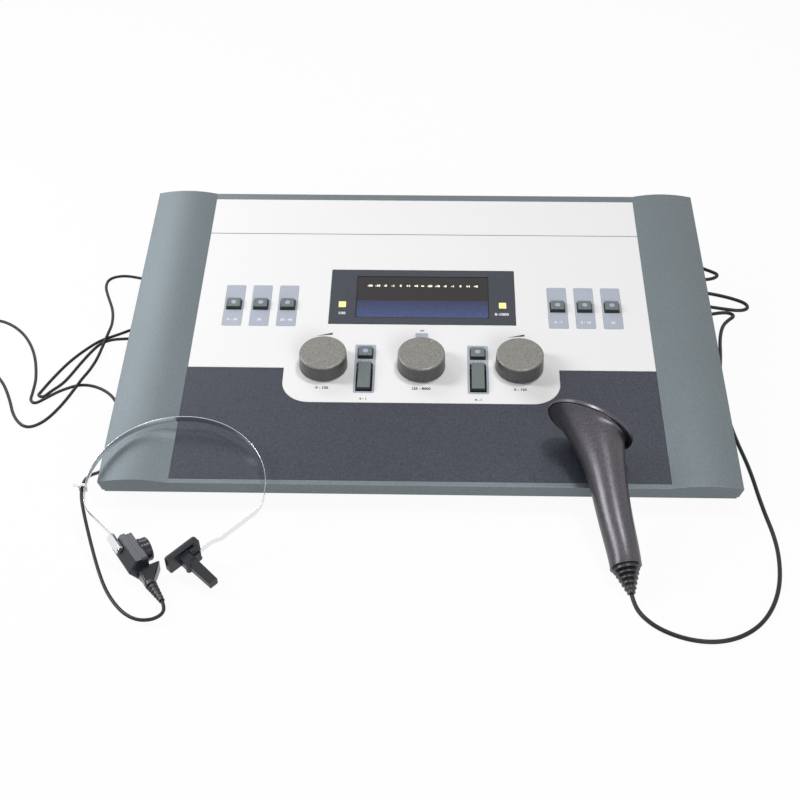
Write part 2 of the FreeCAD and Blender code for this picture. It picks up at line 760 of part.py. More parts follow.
def audio_jacks():
    t = rear_plate_size[2]
    half = jack_body / 2
    back = jack_mouth - jack_bore_length - 2.0
    sockets = []
    for x in jack_xs:
        body = box(x - half, x + half, back, rear_y - t, connector_z - half, connector_z + half)
        bush = rod_y(jack_bush_radius, x, rear_y - t, rear_y, connector_z)
        nut = turned_to(hexagon(jack_nut_flats, 0, jack_collar), V(x, rear_y, connector_z), V(0, 1, 0))
        bore = rod_y(jack_bore_radius, x, jack_mouth - jack_bore_length, jack_mouth + 1, connector_z)
        sockets.append(fused([body, bush, nut]).cut(bore))
    return Part.makeCompound(sockets)


def inlet_section(size, clip, y0, y1):
    """Inlet outline with the two upper corners clipped."""
    hx, hz = size[0] / 2, size[1] / 2
    points = [(-hx, -hz), (hx, -hz), (hx, hz - clip), (hx - clip, hz), (-hx + clip, hz), (-hx, hz - clip)]
    face = polygon([V(inlet_x + a, y0, connector_z + b) for a, b in points])
    return face.extrude(V(0, y1 - y0, 0))


def mains_inlet():
    mouth = rear_y + 2.4
    floor_y = mouth - inlet_depth
    body_size = (inlet_cavity[0] + 3.6, inlet_cavity[1] + 3.6)
    flange = inlet_section(inlet_flange, 0.8, rear_y, mouth)
    body = inlet_section(body_size, 3.6, floor_y - 2.5, rear_y)
    cavity = inlet_section(inlet_cavity, 3.6, floor_y, mouth + 1)
    shell = fused([flange, body]).cut(cavity)
    pins = [(-7.0, -1.0), (7.0, -1.0), (0.0, 3.0)]
    blades = [box(inlet_x + x - 1.0, inlet_x + x + 1.0, floor_y - 0.5, floor_y + inlet_pin_length,
                  connector_z + z - 2.0, connector_z + z + 2.0) for x, z in pins]
    return fused([shell] + blades)


rocker_y = rear_y - 3.4


def power_switch_frame():
    x, z = power_switch_x, connector_z
    half_w = rocker_width / 2 + slide_gap
    half_h = rocker_radius + slide_gap + 0.2
    floor = rocker_y - rocker_radius - 0.8
    w, h, rise = switch_flange
    flange = box(x - w, x + w, rear_y, rear_y + rise, z - h, z + h)
    w, h = switch_body
    body = box(x - w, x + w, floor - switch_wall, rear_y, z - h, z + h)
    cavity = box(x - half_w, x + half_w, floor, rear_y + 3, z - half_h, z + half_h)
    pivot = rod_x(rocker_pin_radius + pin_gap, x - half_w - 0.6, x + half_w + 0.6, rocker_y, z)
    return fused([flange, body]).cut([cavity, pivot])


def power_rocker():
    """Rocker turned about its pivot pins, with a shallow vee for the finger."""
    x, z = power_switch_x, connector_z
    drum = rod_x(rocker_radius, x - rocker_width / 2, x + rocker_width / 2, rocker_y, z)
    pins = rod_x(rocker_pin_radius, x - rocker_width / 2 - 0.8, x + rocker_width / 2 + 0.8, rocker_y, z)
    far = 2 * rocker_radius
    deep, shallow = rocker_radius - 3.0, rocker_radius - 1.2
    outline = [(deep, 0), (shallow, 12), (far, 12), (far, -12), (shallow, -12)]
    vee = polygon([V(x - 10, rocker_y + a, z + b) for a, b in outline]).extrude(V(20, 0, 0))
    rocker = fused([drum, pins]).cut(vee)
    rocker.rotate(V(x, rocker_y, z), V(1, 0, 0), -rocker_tilt)
    return rocker


def plug(x):
    """Jack plug in its socket: pin, barrel and tapered sleeve."""
    seat = jack_mouth + 0.3
    pin = rod_y(plug_pin_radius, x, jack_mouth - jack_bore_length + 2.0, seat, connector_z)
    barrel = rod_y(plug_barrel_radius, x, seat, seat + plug_barrel_length, connector_z)
    barrel = barrel.makeChamfer(0.6, [e for e in barrel.Edges if e.BoundBox.YLength < 0.01])
    end = seat + plug_barrel_length
    sleeve = Part.makeCone(*plug_boot_radii, plug_boot_length, V(x, end, connector_z), V(0, 1, 0))
    return fused([pin, barrel, sleeve])


plug_end_y = jack_mouth + 0.3 + plug_barrel_length + plug_boot_length


# ---------------------------------------------------------------- feet and fasteners
def rubber_feet():
    feet = []
    for x, y in foot_places:
        foot = rod(foot_radius, x, y, 0, foot_height)
        feet.append(foot.makeFillet(0.8, [e for e in foot.Edges if e.BoundBox.ZMax < 0.01]))
    return Part.makeCompound(feet)


def housing_screws():
    screws = []
    for x, y in screw_places:
        seat = parting_height(y) - wall
        head = rod(screw_head_radius, x, y, seat - 2.4, seat)
        shank = rod(screw_radius, x, y, seat, min(row_roof(x, y) - 1.0, seat + 12.0))
        socket = rod(1.2, x, y, seat - 3, seat - 1.2)
        screws.append(fused([head, shank]).cut(socket))
    return Part.makeCompound(screws)


# ---------------------------------------------------------------- handset
def heading_vector(elevation, heading):
    """Unit vector that climbs to the rear, turned to the left of straight back."""
    flat = cos(radians(elevation))
    return V(-flat * sin(radians(heading)), flat * cos(radians(heading)), sin(radians(elevation)))


handle_axis = heading_vector(handset_elevation, handset_heading)
handle_right = (V(1, 0, 0) - handle_axis * handle_axis.x).normalize()
handle_under = handle_axis.cross(handle_right)
handset_turn = FreeCAD.Rotation(handle_right, handle_under, handle_axis, "ZXY")
handset_frame = FreeCAD.Placement(handset_end, handset_turn)
face_normal = handset_frame.Rotation.multVec(V(sin(radians(head_tilt)), 0, cos(radians(head_tilt))))


def in_hand(shape):
    moved = shape.copy()
    moved.Placement = handset_frame.multiply(moved.Placement)
    return moved


head_frame = FreeCAD.Placement(V(head_centre[0], 0, head_centre[1]), FreeCAD.Rotation(V(0, 1, 0), head_tilt))


def on_head(shape):
    """From the slanted face's own frame, its normal along Z, to the handset's."""
    moved = shape.copy()
    moved.Placement = head_frame.multiply(moved.Placement)
    return moved


def head_oval(inset, z):
    a, b = head_axes[0] - inset, head_axes[1] - inset
    return Part.Wire([Part.Ellipse(V(0, 0, z), a, b).toShape()])


def handset_body():
    """Grip lofted from round sections into the slanted oval head."""
    rounds = [Part.Wire([Part.makeCircle(r, V(0, 0, s))]) for s, r in handle_sections]
    throat = Part.Wire([Part.Ellipse(V(0, 0, 0), *throat_axes).toShape()])
    x, z = throat_centre
    throat.Placement = FreeCAD.Placement(V(x, 0, z), FreeCAD.Rotation(V(0, 1, 0), head_tilt * 0.55))
    grip = Part.makeLoft(rounds + [throat, on_head(head_oval(head_seat_inset, 0))], True, False)
    well = on_head(rod(button_radius + 2.6, 0, 0, -button_well, 1))
    pocket = on_head(block((13.0, 13.0), 0, 0, -button_well - 7.0, 0))
    return in_hand(grip.cut([well, pocket]))


def handset_cap():
    plate = Part.Face(head_oval(0, 0)).extrude(V(0, 0, head_plate))
    plate = plate.makeFillet(1.2, [e for e in plate.Edges if e.BoundBox.ZMin > head_plate - 0.01])
    return in_hand(on_head(plate.cut(rod(button_radius + 0.5, 0, 0, -1, 10))))


def response_button():
    """Domed button with a retaining flange under the cap and a stem to its switch."""
    radius = button_radius
    crown = 3.0
    dome_radius = (radius ** 2 + crown ** 2) / (2 * crown)
    skirt = rod(radius, 0, 0, -slide_gap - 1.2, head_plate + 2.4 + crown)
    dome = Part.makeSphere(dome_radius, V(0, 0, head_plate + 2.4 + crown - dome_radius))
    flange = rod(radius + 2.0, 0, 0, -slide_gap - 1.2, -slide_gap)
    stem = rod(2.5, 0, 0, -button_well + 0.3, 0)
    return in_hand(on_head(fused([skirt.common(dome), flange, stem])))


def handset_switch():
    body = block((12.4, 12.4), 0, 0, -button_well - 6.7, -button_well - 3.0)
    plunger = rod(2.5, 0, 0, -button_well - 3.0, -button_well - button_travel)
    return in_hand(on_head(fused([body, plunger])))


def ribbed_boot(length, radii, ribs, cord_radius):
    """Strain relief: a tapered sleeve with raised rings, from its wide end at Z = 0 down to -length."""
    wide, narrow = radii
    points = [(0, 0), (wide, 0), (wide, -0.14 * length)]
    pitch = 0.72 * length / ribs
    for i in range(ribs):
        z = -0.14 * length - pitch * i
        rim = wide + (narrow - wide) * (i + 1) / (ribs + 1)
        groove = max(rim * 0.76, cord_radius + 0.5)
        points += [(groove, z - 0.1 * pitch), (groove, z - 0.42 * pitch), (rim, z - 0.58 * pitch),
                   (rim, z - 0.9 * pitch)]
    points += [(narrow, -0.88 * length), (narrow, -length), (0, -length)]
    return revolved(points)


def handset_boot():
    return in_hand(ribbed_boot(boot_length, handset_boot_radii, 4, handset_cord_radius))


# ---------------------------------------------------------------- headset
headset_turn = FreeCAD.Rotation(V(1, 0, 0), headset_plane_tilt)
headset_frame = FreeCAD.Placement(V(0, headset_line_y, headset_line_z), headset_turn)


def on_headset(shape):
    moved = shape.copy()
    moved.Placement = headset_frame.multiply(moved.Placement)
    return moved


def turtle(start, heading, steps, offset):
    """Tangent chain of arcs and lines, shifted sideways; a step is (radius, turn) or (length, None)."""
    x, y = start
    angle = radians(heading)
    edges = []
    for size, turn in steps:
        left = V(-sin(angle), cos(angle), 0)
        here = V(x, y, 0)
        if turn is None:
            there = here + V(cos(angle), sin(angle), 0) * size
            a, b = here + left * offset, there + left * offset
            edges.append(Part.LineSegment(a, b).toShape())
        else:
            side = 1 if turn > 0 else -1
            centre = here + left * (side * size)
            reach = size - side * offset
            mid_turn, full_turn = radians(turn) / 2, radians(turn)
            spoke = -left * side

            def at(t):
                return V(spoke.x * cos(t) - spoke.y * sin(t), spoke.x * sin(t) + spoke.y * cos(t), 0)

            edges.append(Part.Arc(centre + at(0) * reach, centre + at(mid_turn) * reach,
                                  centre + at(full_turn) * reach).toShape())
            there = centre + at(full_turn) * size
            angle += full_turn
        x, y = there.x, there.y
    return edges, (x, y), degrees(angle)


def band_strip(start, heading, steps, width, slack):
    """Flat spring strip on edge: a ribbon of the band's thickness, as high as its width."""
    half = band_thickness / 2 + slack
    outer, end, final = turtle(start, heading, steps, half)
    inner, _, _ = turtle(start, heading, steps, -half)
    first = Part.LineSegment(outer[0].Vertexes[0].Point, inner[0].Vertexes[0].Point).toShape()
    last = Part.LineSegment(outer[-1].Vertexes[-1].Point, inner[-1].Vertexes[-1].Point).toShape()
    face = Part.Face(Part.Wire(Part.sortEdges(outer + inner + [first, last])[0]))
    face.translate(V(0, 0, -width / 2))
    return face.extrude(V(0, 0, width)), end, final


band_top = (band_centre[0], band_centre[1] + band_radius)
left_steps = ((band_radius, 99.0), (28.0, 36.0), (27.0, None))
right_steps = ((band_radius, -100.0), (20.0, -34.0), (30.0, None), (5.0, -22.0), (4.5, None), (5.0, 22.0),
               (11.5, None))


def band_sides(slack):
    """Both halves of the band, or of the space it needs, with the place and heading of each end."""
    left = band_strip(band_top, 180.0, left_steps, band_width + 2 * slack, slack)
    right = band_strip(band_top, 0.0, right_steps, band_width + 2 * slack, slack)
    return left, right


def headband():
    left, right = band_sides(0.0)
    return on_headset(fused([left[0], right[0]]))


band_ends = band_sides(0.0)
left_end = V(band_ends[0][1][0], band_ends[0][1][1], 0)
right_end = V(band_ends[1][1][0], band_ends[1][1][1], 0)
right_heading = band_ends[1][2]

vibrator_rotation = FreeCAD.Rotation(V(0, 0, 1), vibrator_turn)
vibrator_centre = headset_frame.multVec(left_end) - vibrator_rotation.multVec(V(*band_seat))
vibrator_frame = FreeCAD.Placement(vibrator_centre, vibrator_rotation)
back_slope = V(0, case_top[0] - case_ridge[0], case_top[2] - case_ridge[1]).normalize()
back_normal = V(1, 0, 0).cross(back_slope)
slope_frame = FreeCAD.Placement(V(0, case_ridge[0], case_ridge[1]),
                                FreeCAD.Rotation(V(1, 0, 0), back_slope, back_normal, "ZXY"))


def on_vibrator(shape):
    """From the vibrator's frame: long side along X, its face towards +Y, upright."""
    moved = shape.copy()
    moved.Placement = vibrator_frame.multiply(moved.Placement)
    return moved


def on_slope(shape):
    """From the case's sloping back face, its outward normal along Z, to the vibrator's frame."""
    moved = shape.copy()
    moved.Placement = slope_frame.multiply(moved.Placement)
    return moved


def upright(shape, x, y, z, direction):
    return turned_to(shape, V(x, y, z), direction)


def vibrator_case():
    """Six-sided case: a back ridge between two slopes, flat top and bottom, pin bore in the upper slope."""
    half = case_length / 2
    ridge_y, ridge_z = case_ridge
    top_start, top_end, top_z = case_top
    outline = [(ridge_y, ridge_z), (top_start, top_z), (top_end, top_z)]
    outline += [(y, -z) for y, z in reversed(outline)]
    case = polygon([V(-half, y, z) for y, z in outline]).extrude(V(case_length, 0, 0))
    ends = [e for e in case.Edges if e.BoundBox.XLength < 0.01 and e.BoundBox.YMax < top_end - 0.01]
    case = case.makeChamfer(0.9, ends)
    bore = rod(clip_pin_radius + pin_gap, clip_pin_place[0], clip_pin_place[1], -4.5, 2)
    return on_vibrator(case.cut(on_slope(bore)))


def vibrator_face():
    """Front plate with the round driver boss that rests on the bone."""
    plate_size = (case_length - 0.8, 2 * case_top[2] - 0.8)
    plate = rounded_plate(plate_size, 0, 0, 0, face_plate_front - case_top[1], 1.6)
    lip = boss_disc_radius + 0.5
    radius, height = boss_disc_radius, boss_disc_height
    boss = revolved([(0, 0), (lip, 0), (lip, 1.6), (radius, 2.0), (radius, height - 0.9),
                     (radius - 0.9, height), (0, height)])
    boss.translate(V(0, 0, face_plate_front - case_top[1]))
    boss.translate(V(0, -boss_disc_lift, 0))
    face = fused([plate, boss])
    turn = FreeCAD.Rotation(V(1, 0, 0), V(0, 0, -1), V(0, 1, 0), "ZXY")
    face.Placement = FreeCAD.Placement(V(0, case_top[1], 0), turn)
    return on_vibrator(face)


def vibrator_yoke():
    """Bright clip on the band's end: a bar over the case's slope, whose pin enters the case."""
    length, width, thick = clip_size
    x, y = clip_pin_place
    low = vibrator_swing_gap
    bar = rounded_plate((length, width), x + 2.6 - length / 2, y, low, low + thick, 1.0)
    head = rod(clip_pin_radius + 0.7, x, y, low + thick, low + thick + 1.0)
    pin = rod(clip_pin_radius, x, y, -4.0, low + thick)
    clip = on_vibrator(on_slope(fused([bar, head, pin])))
    return clip.cut(on_headset(band_sides(0.1)[0][0]))


def vibrator_plug():
    """Two-pin connector: wide and flat against the case, narrowing to the cord."""
    sections = (vibrator_plug_root, vibrator_plug_neck, vibrator_plug_tip + vibrator_plug_end)
    wires = []
    for share, (w, h, y, z) in zip((0.0, 0.5, 1.0), sections):
        x = case_length / 2 + share * vibrator_plug_length
        wires.append(upright(rounded_outline((h, w), 0, 0, 0, 1.4), x, y, z, V(1, 0, 0)))
    return on_vibrator(Part.makeLoft(wires, True, True))


def vibrator_boot():
    boot = ribbed_boot(vibrator_boot_length, vibrator_boot_radii, 4, headset_cord_radius)
    return on_vibrator(upright(boot, case_length / 2 + vibrator_plug_length, vibrator_plug_end[0],
                               vibrator_plug_end[1], V(-1, 0, 0)))


lead_reach = case_length / 2 + vibrator_plug_length + vibrator_boot_length + cord_end_gap
lead_start = vibrator_frame.multVec(V(lead_reach, vibrator_plug_end[0], vibrator_plug_end[1]))
clevis_gap = 0.6
pad_reach = pad_root[2] + clevis_gap + 1.0
pad_rotation = FreeCAD.Rotation(V(0, 0, 1), right_heading + 90)
pad_centre = right_end - pad_rotation.multVec(V(pad_pivot[0], pad_reach, 0))
pad_frame = headset_frame.multiply(FreeCAD.Placement(pad_centre, pad_rotation))


def on_pad(shape):
    """From the pad's frame: its leg along +X, its plate across Y, the band arriving along -Y."""
    moved = shape.copy()
    moved.Placement = pad_frame.multiply(moved.Placement)
    return moved


def temple_pad():
    """Rubber T: a rounded cross plate, a long leg and the root that turns on the band's pin."""
    length, height, thick = pad_plate_size
    depth, near, far, half = pad_root
    plate = box(-thick, 0, -length / 2, length / 2, -height / 2, height / 2)
    plate = plate.makeFillet(2.4, [e for e in plate.Edges if e.BoundBox.XMax < -thick + 0.01
                                   or e.BoundBox.XLength > 1])
    root = box(-0.5, depth, near, far, -half, half)
    stub = rod(2.4, depth + 0.6, near + 1.6, -half, half)
    leg_length, leg_width, leg_height = pad_leg_size
    wires = []
    for x, size in ((-0.5, (leg_height, leg_width + 1.0)), (leg_length, (leg_height - 1.0, leg_width))):
        wires.append(upright(rounded_outline(size, 0, 0, 0, 1.0), x, 0, 0, V(1, 0, 0)))
    leg = Part.makeLoft(wires, True, True)
    bore = rod(pad_pin_radius + pin_gap, pad_pivot[0], pad_pivot[1], -20, 20)
    return on_pad(fused([plate, root, stub, leg]).cut(bore))


def pad_arm():
    """Clevis on the band's end: two ears, a web and the pin through the pad's root."""
    x, y = pad_pivot
    inner = pad_root[3] + slide_gap
    outer = inner + 1.0
    web = box(x - 1.5, x + 1.5, pad_reach - 1.0, pad_reach, -outer, outer)
    ears = [box(x - 2.5, x + 2.5, y - 2.5, pad_reach, low, low + 1.0) for low in (-outer, inner)]
    pin = rod(pad_pin_radius, x, y, -outer - 0.6, outer + 0.6)
    return on_pad(fused(ears + [web, pin]))


def cord_clip():
    """Small clip that ties the cord to the band's outer side."""
    x, y = band_centre[0] - band_radius, band_centre[1]
    outer, inner, front, rear, height = clip_reach
    body = box(x + outer, x + inner, y + front, y + rear, -height, height)
    body = on_headset(body.makeChamfer(0.6, [e for e in body.Edges if e.BoundBox.ZLength < 0.01]))
    along_band = headset_frame.Rotation.multVec(V(0, 1, 0))
    bore = turned_to(rod(headset_cord_radius + 0.1, 0, 0, -8, 8), V(*clip_point), along_band)
    return body.cut([on_headset(band_sides(0.1)[0][0]), bore])


# ---------------------------------------------------------------- cords
def rounded_path(points):
    """Straight runs joined by tangent arcs, each as large as its two runs allow."""
    edges, radii = [], []
    here = points[0]
    for before, corner, after in zip(points, points[1:], points[2:]):
        a, b = before - corner, after - corner
        shorter = min(a.Length, b.Length)
        a.normalize()
        b.normalize()
        half_turn = (pi - acos(max(-1.0, min(1.0, a.dot(b))))) / 2
        cut = 0.45 * shorter
        radius = cut / tan(half_turn)
        start, end = corner + a * cut, corner + b * cut
        inward = (a + b).normalize()
        centre = corner + inward * (radius / cos(half_turn))
        middle = centre - inward * radius
        if (start - here).Length > 1e-6:
            edges.append(Part.LineSegment(here, start).toShape())
        edges.append(Part.Arc(start, middle, end).toShape())
        radii.append(radius)
        here = end
    edges.append(Part.LineSegment(here, points[-1]).toShape())
    return Part.Wire(edges), radii


def cord(name, points, radius):
    path, radii = rounded_path(points)
    first = points[1] - points[0]
    ring = Part.Wire([Part.makeCircle(radius, points[0], first)])
    tube = path.makePipe(Part.Face(ring))
    share = tube.Volume / (pi * radius ** 2 * path.Length)
    print(name, "length %.0f" % path.Length, "volume share %.4f" % share, "valid", tube.isValid(),
          "radii", [round(r, 1) for r in radii])
    return tube


def lifted(points, radius):
    """Route points; where no height is given the cord lies on the table."""
    return [V(p[0], p[1], p[2] if len(p) > 2 else radius) for p in points]


handset_route = (
    (150.6, -269.6), (154.8, -281.4), (165.6, -293.6), (183.0, -302.6), (202.0, -305.2), (220.6, -300.0),
    (237.0, -287.0), (249.6, -266.4), (257.6, -240.2), (260.8, -206.0), (256.4, -166.0), (254.6, -125.0),
    (249.0, -86.0), (246.5, -46.0), (248.0, -10.0), (253.8, 22.0), (256.8, 48.0), (262.0, 68.0),
    (269.0, 77.5), (275.0, 83.2), (271.6, 88.6), (263.0, 88.6), (250.0, 84.5), (240.0, 81.0), (231.0, 80.0),
    (222.5, 83.5), (219.0, 92.0), (222.5, 100.5), (231.0, 104.0), (240.5, 102.5), (252.0, 98.5),
    (268.0, 94.3), (281.0, 91.6), (289.0, 95.2), (288.4, 103.2), (280.5, 109.2), (270.0, 114.6),
    (257.0, 119.4), (246.5, 120.6), (238.0, 124.2), (234.6, 132.0), (238.4, 139.4), (247.0, 141.2),
    (258.0, 141.6), (266.2, 144.2), (270.6, 150.0), (265.2, 155.2), (256.5, 161.0), (250.5, 173.0),
    (245.0, 194.0), (228.0, 218.0), (200.0, 235.0), (165.0, 244.0), (128.0, 249.0), (98.0, 252.0),
    (66.0, 254.6), (43.0, 253.9),
)
coil_centre = (29.5, 236.0)
coil_radius = 17.7
coil_turns = 7
coil_pitch = 3.4
coil_points = 12
handset_rise = ((12.4, 222.5, 28.4), (12.0, 214.6, 31.2))
tie_width = 6.0
tie_thickness = 0.8
tie_gap = 0.3


def coil_route():
    """Put-away length: a round coil that climbs one cord's thickness with each turn."""
    route = []
    x, y = coil_centre
    for k in range(coil_points * coil_turns + 3):
        angle = radians(90.0 + 360.0 / coil_points * (k + 0.5))
        height = handset_cord_radius + coil_pitch * k / coil_points
        route.append((x + coil_radius * cos(angle), y + coil_radius * sin(angle), height))
    return route


def handset_cord():
    start = handset_frame.multVec(V(0, 0, -boot_length - cord_end_gap))
    end = (jack_xs[-1], plug_end_y + cord_end_gap, connector_z)
    points = [tuple(start)] + list(handset_route) + coil_route() + list(handset_rise) + [end]
    return cord("handset_cord", lifted(points, handset_cord_radius), handset_cord_radius)


def cord_tie():
    """Strap round the coil's bundle, on its right-hand side."""
    x = coil_centre[0] + coil_radius * cos(pi / coil_points)
    low = 0.75 * coil_pitch - tie_gap
    high = (coil_turns - 0.25) * coil_pitch + 2 * handset_cord_radius + tie_gap
    inside = 2 * (handset_cord_radius + tie_gap)
    inner = block((inside, tie_width + 4), x, coil_centre[1], low, high)
    outside = (inside + 2 * tie_thickness, tie_width)
    outer = block(outside, x, coil_centre[1], low - tie_thickness, high + tie_thickness)
    return outer.cut(inner)


clip_point = (-248.5, -182.7, 25.7)
lead_route = (
    (-174.1, -283.9, 5.4), (-176.2, -289.8, 4.5), (-183.2, -293.2, 3.4), (-193.8, -292.0, 2.2),
    (-205.4, -283.4), (-217.8, -266.6), (-227.4, -246.5, 2.4), (-236.2, -224.5, 9.0),
    (-244.0, -203.5, 18.8), (-248.5, -188.8, 24.45),
)
headset_route = (
    (-248.5, -176.6, 26.95), (-247.0, -162.5, 21.0), (-243.6, -147.0, 10.5), (-242.6, -131.0, 3.0),
    (-243.4, -112.0), (-243.8, -90.0), (-244.0, -68.0), (-250.0, -46.0), (-264.0, -30.5), (-282.0, -24.2),
    (-297.5, -32.5), (-308.5, -43.8), (-316.0, -52.0), (-321.0, -47.8), (-321.2, -37.0), (-322.5, -16.0),
    (-332.0, 20.0), (-349.0, 50.0), (-372.0, 68.0), (-394.0, 66.0), (-402.0, 48.0), (-394.0, 28.0),
    (-376.0, 6.0), (-352.0, -18.0), (-339.0, -44.0), (-329.6, -70.0), (-316.5, -84.5), (-303.6, -76.0),
    (-294.0, -54.5), (-287.0, -35.0, 3.2), (-283.0, -21.5, 4.2), (-279.6, -8.0, 2.6), (-276.6, 9.0, 1.7),
    (-274.6, 26.0, 3.0), (-273.4, 37.0, 4.2), (-272.6, 48.0, 4.2), (-272.4, 61.0, 2.4), (-275.6, 83.0),
    (-284.0, 105.0), (-289.8, 122.0), (-288.4, 135.5), (-276.0, 140.6), (-260.5, 136.6), (-246.0, 131.0),
    (-238.0, 118.0), (-237.0, 98.0), (-240.0, 76.0), (-247.0, 60.0), (-257.5, 52.0), (-268.0, 44.6),
    (-279.0, 37.6), (-289.4, 23.6), (-299.6, 6.0), (-307.4, -13.8), (-312.2, -28.0), (-314.6, -36.0),
    (-316.2, -41.0), (-310.9, -43.2), (-306.6, -35.0), (-299.4, -25.6), (-294.8, -14.0), (-289.6, 3.6),
    (-283.2, 22.0), (-278.0, 33.0), (-269.0, 39.4), (-257.0, 40.6), (-242.0, 42.0), (-231.0, 50.0),
    (-227.0, 68.0), (-226.0, 98.0), (-228.0, 128.0), (-234.0, 155.0), (-235.0, 180.0), (-224.0, 206.0),
    (-201.0, 230.0), (-176.0, 246.0), (-156.0, 252.0), (-141.0, 251.0), (-132.0, 244.0, 2.6),
    (-129.0, 236.0, 7.0), (-128.3, 229.0, 16.0), (-128.0, 222.0, 26.0), (-128.0, 214.0, 31.4),
)


def headset_lead():
    """The cord's first stretch, from the vibrator's boot to the clip on the band."""
    points = [tuple(lead_start)] + list(lead_route) + [clip_point]
    return cord("headset_lead", lifted(points, headset_cord_radius), headset_cord_radius)


def headset_cord():
    """The rest of the cord, from the clip on the band to its plug."""
    points = [clip_point] + list(headset_route) + [(jack_xs[0], plug_end_y + cord_end_gap, connector_z)]
    return cord("headset_cord", lifted(points, headset_cord_radius), headset_cord_radius)


# ---------------------------------------------------------------- all sub-parts
nodes["top_housing"] = top_housing()
nodes["base_housing"] = base_housing()
nodes["upper_overlay"] = upper_overlay()
nodes["lower_overlay"] = lower_overlay()
nodes["display_bezel"] = display_bezel()
nodes["display_window"] = display_window()
nodes["display_module"] = display_module()
nodes["level_meter"] = level_meter()
nodes["indicator_lenses"] = indicator_lenses()
nodes["key_plates"] = key_plates()
nodes["key_leds"] = key_leds()
nodes["key_switches"] = key_switches()
nodes["control_board"] = control_board()
nodes["main_board"] = main_board()
nodes["power_supply"] = power_supply()
nodes["encoder_bodies"] = encoder_bodies()
nodes["rear_panel"] = rear_panel()
nodes["audio_jacks"] = audio_jacks()
nodes["mains_inlet"] = mains_inlet()
nodes["power_switch_frame"] = power_switch_frame()
nodes["power_rocker"] = power_rocker()
nodes["rubber_feet"] = rubber_feet()
nodes["housing_screws"] = housing_screws()
nodes["tone_bar_brackets"] = tone_bar_brackets()
nodes["tone_bar_left"] = tone_bar(-1)
nodes["tone_bar_right"] = tone_bar(1)
for name, (u, v) in key_places.items():
    nodes[name] = key_cap(u, v)
for name, (u, v, dimple) in knob_places.items():
    nodes[name] = knob(u, v, dimple)
    nodes[shaft_names[name]] = knob_shaft(u, v)
nodes["handset_body"] = handset_body()
nodes["handset_cap"] = handset_cap()
nodes["response_button"] = response_button()
nodes["handset_switch"] = handset_switch()
nodes["handset_boot"] = handset_boot()
nodes["handset_plug"] = plug(jack_xs[-1])
nodes["handset_cord"] = handset_cord()
nodes["cord_tie"] = cord_tie()
nodes["headband"] = headband()
nodes["cord_clip"] = cord_clip()
nodes["vibrator_yoke"] = vibrator_yoke()
nodes["vibrator_case"] = vibrator_case()
nodes["vibrator_face"] = vibrator_face()
nodes["vibrator_plug"] = vibrator_plug()
nodes["vibrator_boot"] = vibrator_boot()
nodes["pad_arm"] = pad_arm()
nodes["temple_pad"] = temple_pad()
nodes["headset_plug"] = plug(jack_xs[0])
nodes["headset_lead"] = headset_lead()
nodes["headset_cord"] = headset_cord()

for name, shape in nodes.items():
    if not shape.isValid():
        print(name, "is not a valid solid")
    shape.exportStep("parts/%s.step" % name)

print("nodes", len(nodes))
for label, point in (("face normal", face_normal), ("press axis", press), ("handle axis", handle_axis),
                     ("handset end", handset_end), ("face centre", handset_frame.multVec(head_frame.Base)),
                     ("lead start", lead_start),
                     ("vibrator pin", vibrator_frame.multVec(slope_frame.multVec(V(*clip_pin_place, 0)))),
                     ("vibrator pin axis", vibrator_rotation.multVec(back_normal)),
                     ("pad pin", pad_frame.multVec(V(*pad_pivot, 0))),
                     ("pad pin axis", headset_turn.multVec(V(0, 0, 1))),
                     ("tone hinge left", panel_point(-centre_u, tone_hinge_v, tone_hinge_n)),
                     ("rear plate", V(0, rear_y, connector_z)), ("plug end", V(0, plug_end_y, connector_z))):
    print(label, [round(c, 4) for c in point])
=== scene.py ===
from math import cos, radians, sin

import bmesh
import bpy
from mathutils import Matrix, Vector


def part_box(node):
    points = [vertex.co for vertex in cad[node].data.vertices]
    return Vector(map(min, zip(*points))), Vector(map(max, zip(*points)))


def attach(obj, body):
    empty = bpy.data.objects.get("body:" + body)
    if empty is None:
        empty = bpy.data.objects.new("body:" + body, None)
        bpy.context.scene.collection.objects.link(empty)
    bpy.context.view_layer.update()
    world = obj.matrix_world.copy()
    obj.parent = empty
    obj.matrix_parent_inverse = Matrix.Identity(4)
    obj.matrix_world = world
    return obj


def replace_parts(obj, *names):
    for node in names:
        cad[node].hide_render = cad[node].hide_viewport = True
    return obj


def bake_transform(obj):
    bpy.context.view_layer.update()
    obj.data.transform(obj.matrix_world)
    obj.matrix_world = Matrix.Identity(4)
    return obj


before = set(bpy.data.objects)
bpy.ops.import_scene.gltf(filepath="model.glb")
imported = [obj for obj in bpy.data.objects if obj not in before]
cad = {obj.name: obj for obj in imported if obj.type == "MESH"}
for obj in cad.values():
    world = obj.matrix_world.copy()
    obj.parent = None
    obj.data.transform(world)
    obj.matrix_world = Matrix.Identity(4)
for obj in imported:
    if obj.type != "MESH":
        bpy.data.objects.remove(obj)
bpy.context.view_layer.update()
scene = bpy.context.scene
mm = 0.001

# Two-channel audiometer: a sloping console, a response handset and a bone conduction headset.
# Sizes are in millimetres, or in metres where times mm.
# Panel frame: U to the right, V up the slope, N out of the panel.

# ---------------------------------------------------------------- camera
camera_place = Vector((8.3, -992.7, 742.4)) * mm
camera_aim = Vector((-15.8, -99.0, 46.0)) * mm
camera_roll = radians(-0.343)
camera_lens = 66.19


